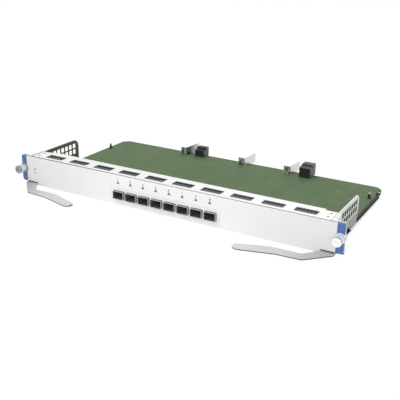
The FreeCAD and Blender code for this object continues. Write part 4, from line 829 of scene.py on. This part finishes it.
# Guide brackets: bent plates of nickel-plated sheet that stand at the board's
# back edge and lead it into the chassis. Painted shade darkens the left one's
# blade towards its front, and the wings' fronts carry the board's green as a
# painted reflection with patches of painted highlight.
guide_plate, guide_shader, guide_place, guide_colour = new_finish(
    "guide_sheet", "E0DFE2", "C8C7CB", (0.26, 0.40), 1300.0, 0.06, metal=0.75, drift=60.0,
    stretch=(1, 0.15, 1))
guide_x, guide_y, _ = axes(guide_place)
guide_low, guide_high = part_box("left_guide_bracket")
shade_end, light_start, wing_depth = 0.010, 0.036, 0.0008
lighter = ramp(guide_y, guide_low.y + shade_end, guide_low.y + light_start)
# Painted shade on the left blade, and a painted reflection and highlight on the wings.
left_blade_shade = times(below(guide_x, guide_high.x + 0.001), maths("SUBTRACT", 1.0, lighter))
blade_shaded_tone = mixed(left_blade_shade, guide_colour, tone("323134"))
wing_highlight_noise = put(guide_plate.node_tree, "ShaderNodeTexNoise", {
    "Vector": guide_place, "Scale": 260.0, "Detail": 2.0})
wing_reflection_tone = mixed(above(wing_highlight_noise.outputs[0], 0.50, 0.04), tone("6E7C68"), tone("D0D3CE"))
recolour(guide_shader, mixed(below(guide_y, guide_low.y + wing_depth), blade_shaded_tone, wing_reflection_tone))
coat(guide_plate, "left_guide_bracket", "middle_guide_bracket", "right_guide_bracket")

# Rear connectors: black moulded housings for power blades and signal pins. A
# painted highlight lightens the sides that face right.
rear_black, rear_shader, _, rear_colour = new_finish(
    "black_plastic", "1F1E20", "171718", (0.42, 0.58), 2400.0, 0.18, wander=0.6, drift=60.0)
right_side_highlight = times(above(facing_axes(rear_black.node_tree)[0], outward), 0.45)
recolour(rear_shader, mixed(right_side_highlight, rear_colour, tone("78767C")))
coat(rear_black, "power_connector", "signal_connector")

# Edge rails: toothed insulating strips of black fibre, laid between the tray and
# the board's long edges. Their black also stands in as painted shade of the gap
# under the board.
black_gap_shade, *_ = new_finish("rail_fibre", "242424", "1A1A1A", (0.6, 0.75), 1800.0, 0.2, drift=80.0)
coat(black_gap_shade, "right_edge_rail", "left_edge_rail")

# Edge seals: strips of black foam between the tray and the board's long edges,
# beside the rails, put there as painted shade to darken that gap. They stop
# short of the brackets' feet.
seal_out, seal_thickness = board_high.x - 0.0003, 0.0005
seal_bottom, seal_top = 0.00125, board_low.z - 0.00004
seal_section = bar_section(seal_thickness, seal_top - seal_bottom) + (0, (seal_bottom + seal_top) / 2)
seal_points, seal_faces = [], []
for side in (-1, 1):
    for foam in (foam_front, foam_back):
        seal_faces += [[k + 8 * len(seal_points) for k in face] for face in grid_faces(2, 4)]
        seal_path = [(side * seal_out, y, 0) for y in foam]
        seal_points.append(carried(seal_section, seal_path, (0, 0, 1)).reshape(-1, 3))
new_piece("edge_seals", np.vstack(seal_points), seal_faces, black_gap_shade, slot="black_plastic", smooth=False)

# Lever notch trims: black rubber channels pushed on the panel's edge where the
# levers pass under it, whose black stands in as painted shade of the gap over
# the levers. Each is a U section carried along the notch's top.
rubber, *_ = new_finish("black_rubber_shade", "2A2A2A", "1D1D1D", (0.6, 0.75), 2200.0, 0.15, drift=200.0)
notch_top, notch_near, notch_far = 0.0030, 0.1842, 0.1990
trim_skin, trim_reach = 0.00018, 0.0009
trim_front, trim_back = panel_low.y - 0.00002, panel_high.y + 0.00002
trim_section = np.array([
    (trim_front, trim_reach), (trim_front - trim_skin, trim_reach), (trim_front - trim_skin, -trim_skin),
    (trim_back + trim_skin, -trim_skin), (trim_back + trim_skin, trim_reach), (trim_back, trim_reach),
    (trim_back, -0.00001), (trim_front, -0.00001)])
for side, near, far in (("right", notch_near, notch_far), ("left", -notch_far, -notch_near)):
    trim_points = np.stack([np.column_stack((np.full(8, x), trim_section + (0, notch_top)))
                            for x in (near, far)])
    new_piece(f"{side}_notch_trim", trim_points, grid_faces(2, 8), rubber, slot="black_plastic", smooth=False)

# Guide posts: turned pins of blackened steel with a brass tip, each in a
# turned black collar that is pressed on the board, whose black is also painted
# shade at the post's foot.
post_metal, post_shader, post_place, post_colour = new_finish(
    "post_steel", "35342C", "26261F", (0.3, 0.45), 2000.0, 0.06, metal=0.8, drift=300.0)
post_low, post_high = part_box("guide_posts")
post_radius, tip_length = 0.0015, 0.00165
on_tip = above(axes(post_place)[2], post_high.z - tip_length)
recolour(post_shader, mixed(on_tip, post_colour, tone("C9B892")))
coat(post_metal, "guide_posts")
collar_profile = [(0.00153, 0), (0.0026, 0), (0.0026, 0.0006), (0.0022, 0.0010), (0.00153, 0.0010)]
post_middles = [(side * (post_high.x - post_radius), (post_low.y + post_high.y) / 2, board_high.z)
                for side in (-1, 1)]
new_piece("post_collars", *repeated(turned(collar_profile, (0, 0, 0)), ring_faces(5), post_middles),
          rubber, slot="black_plastic")
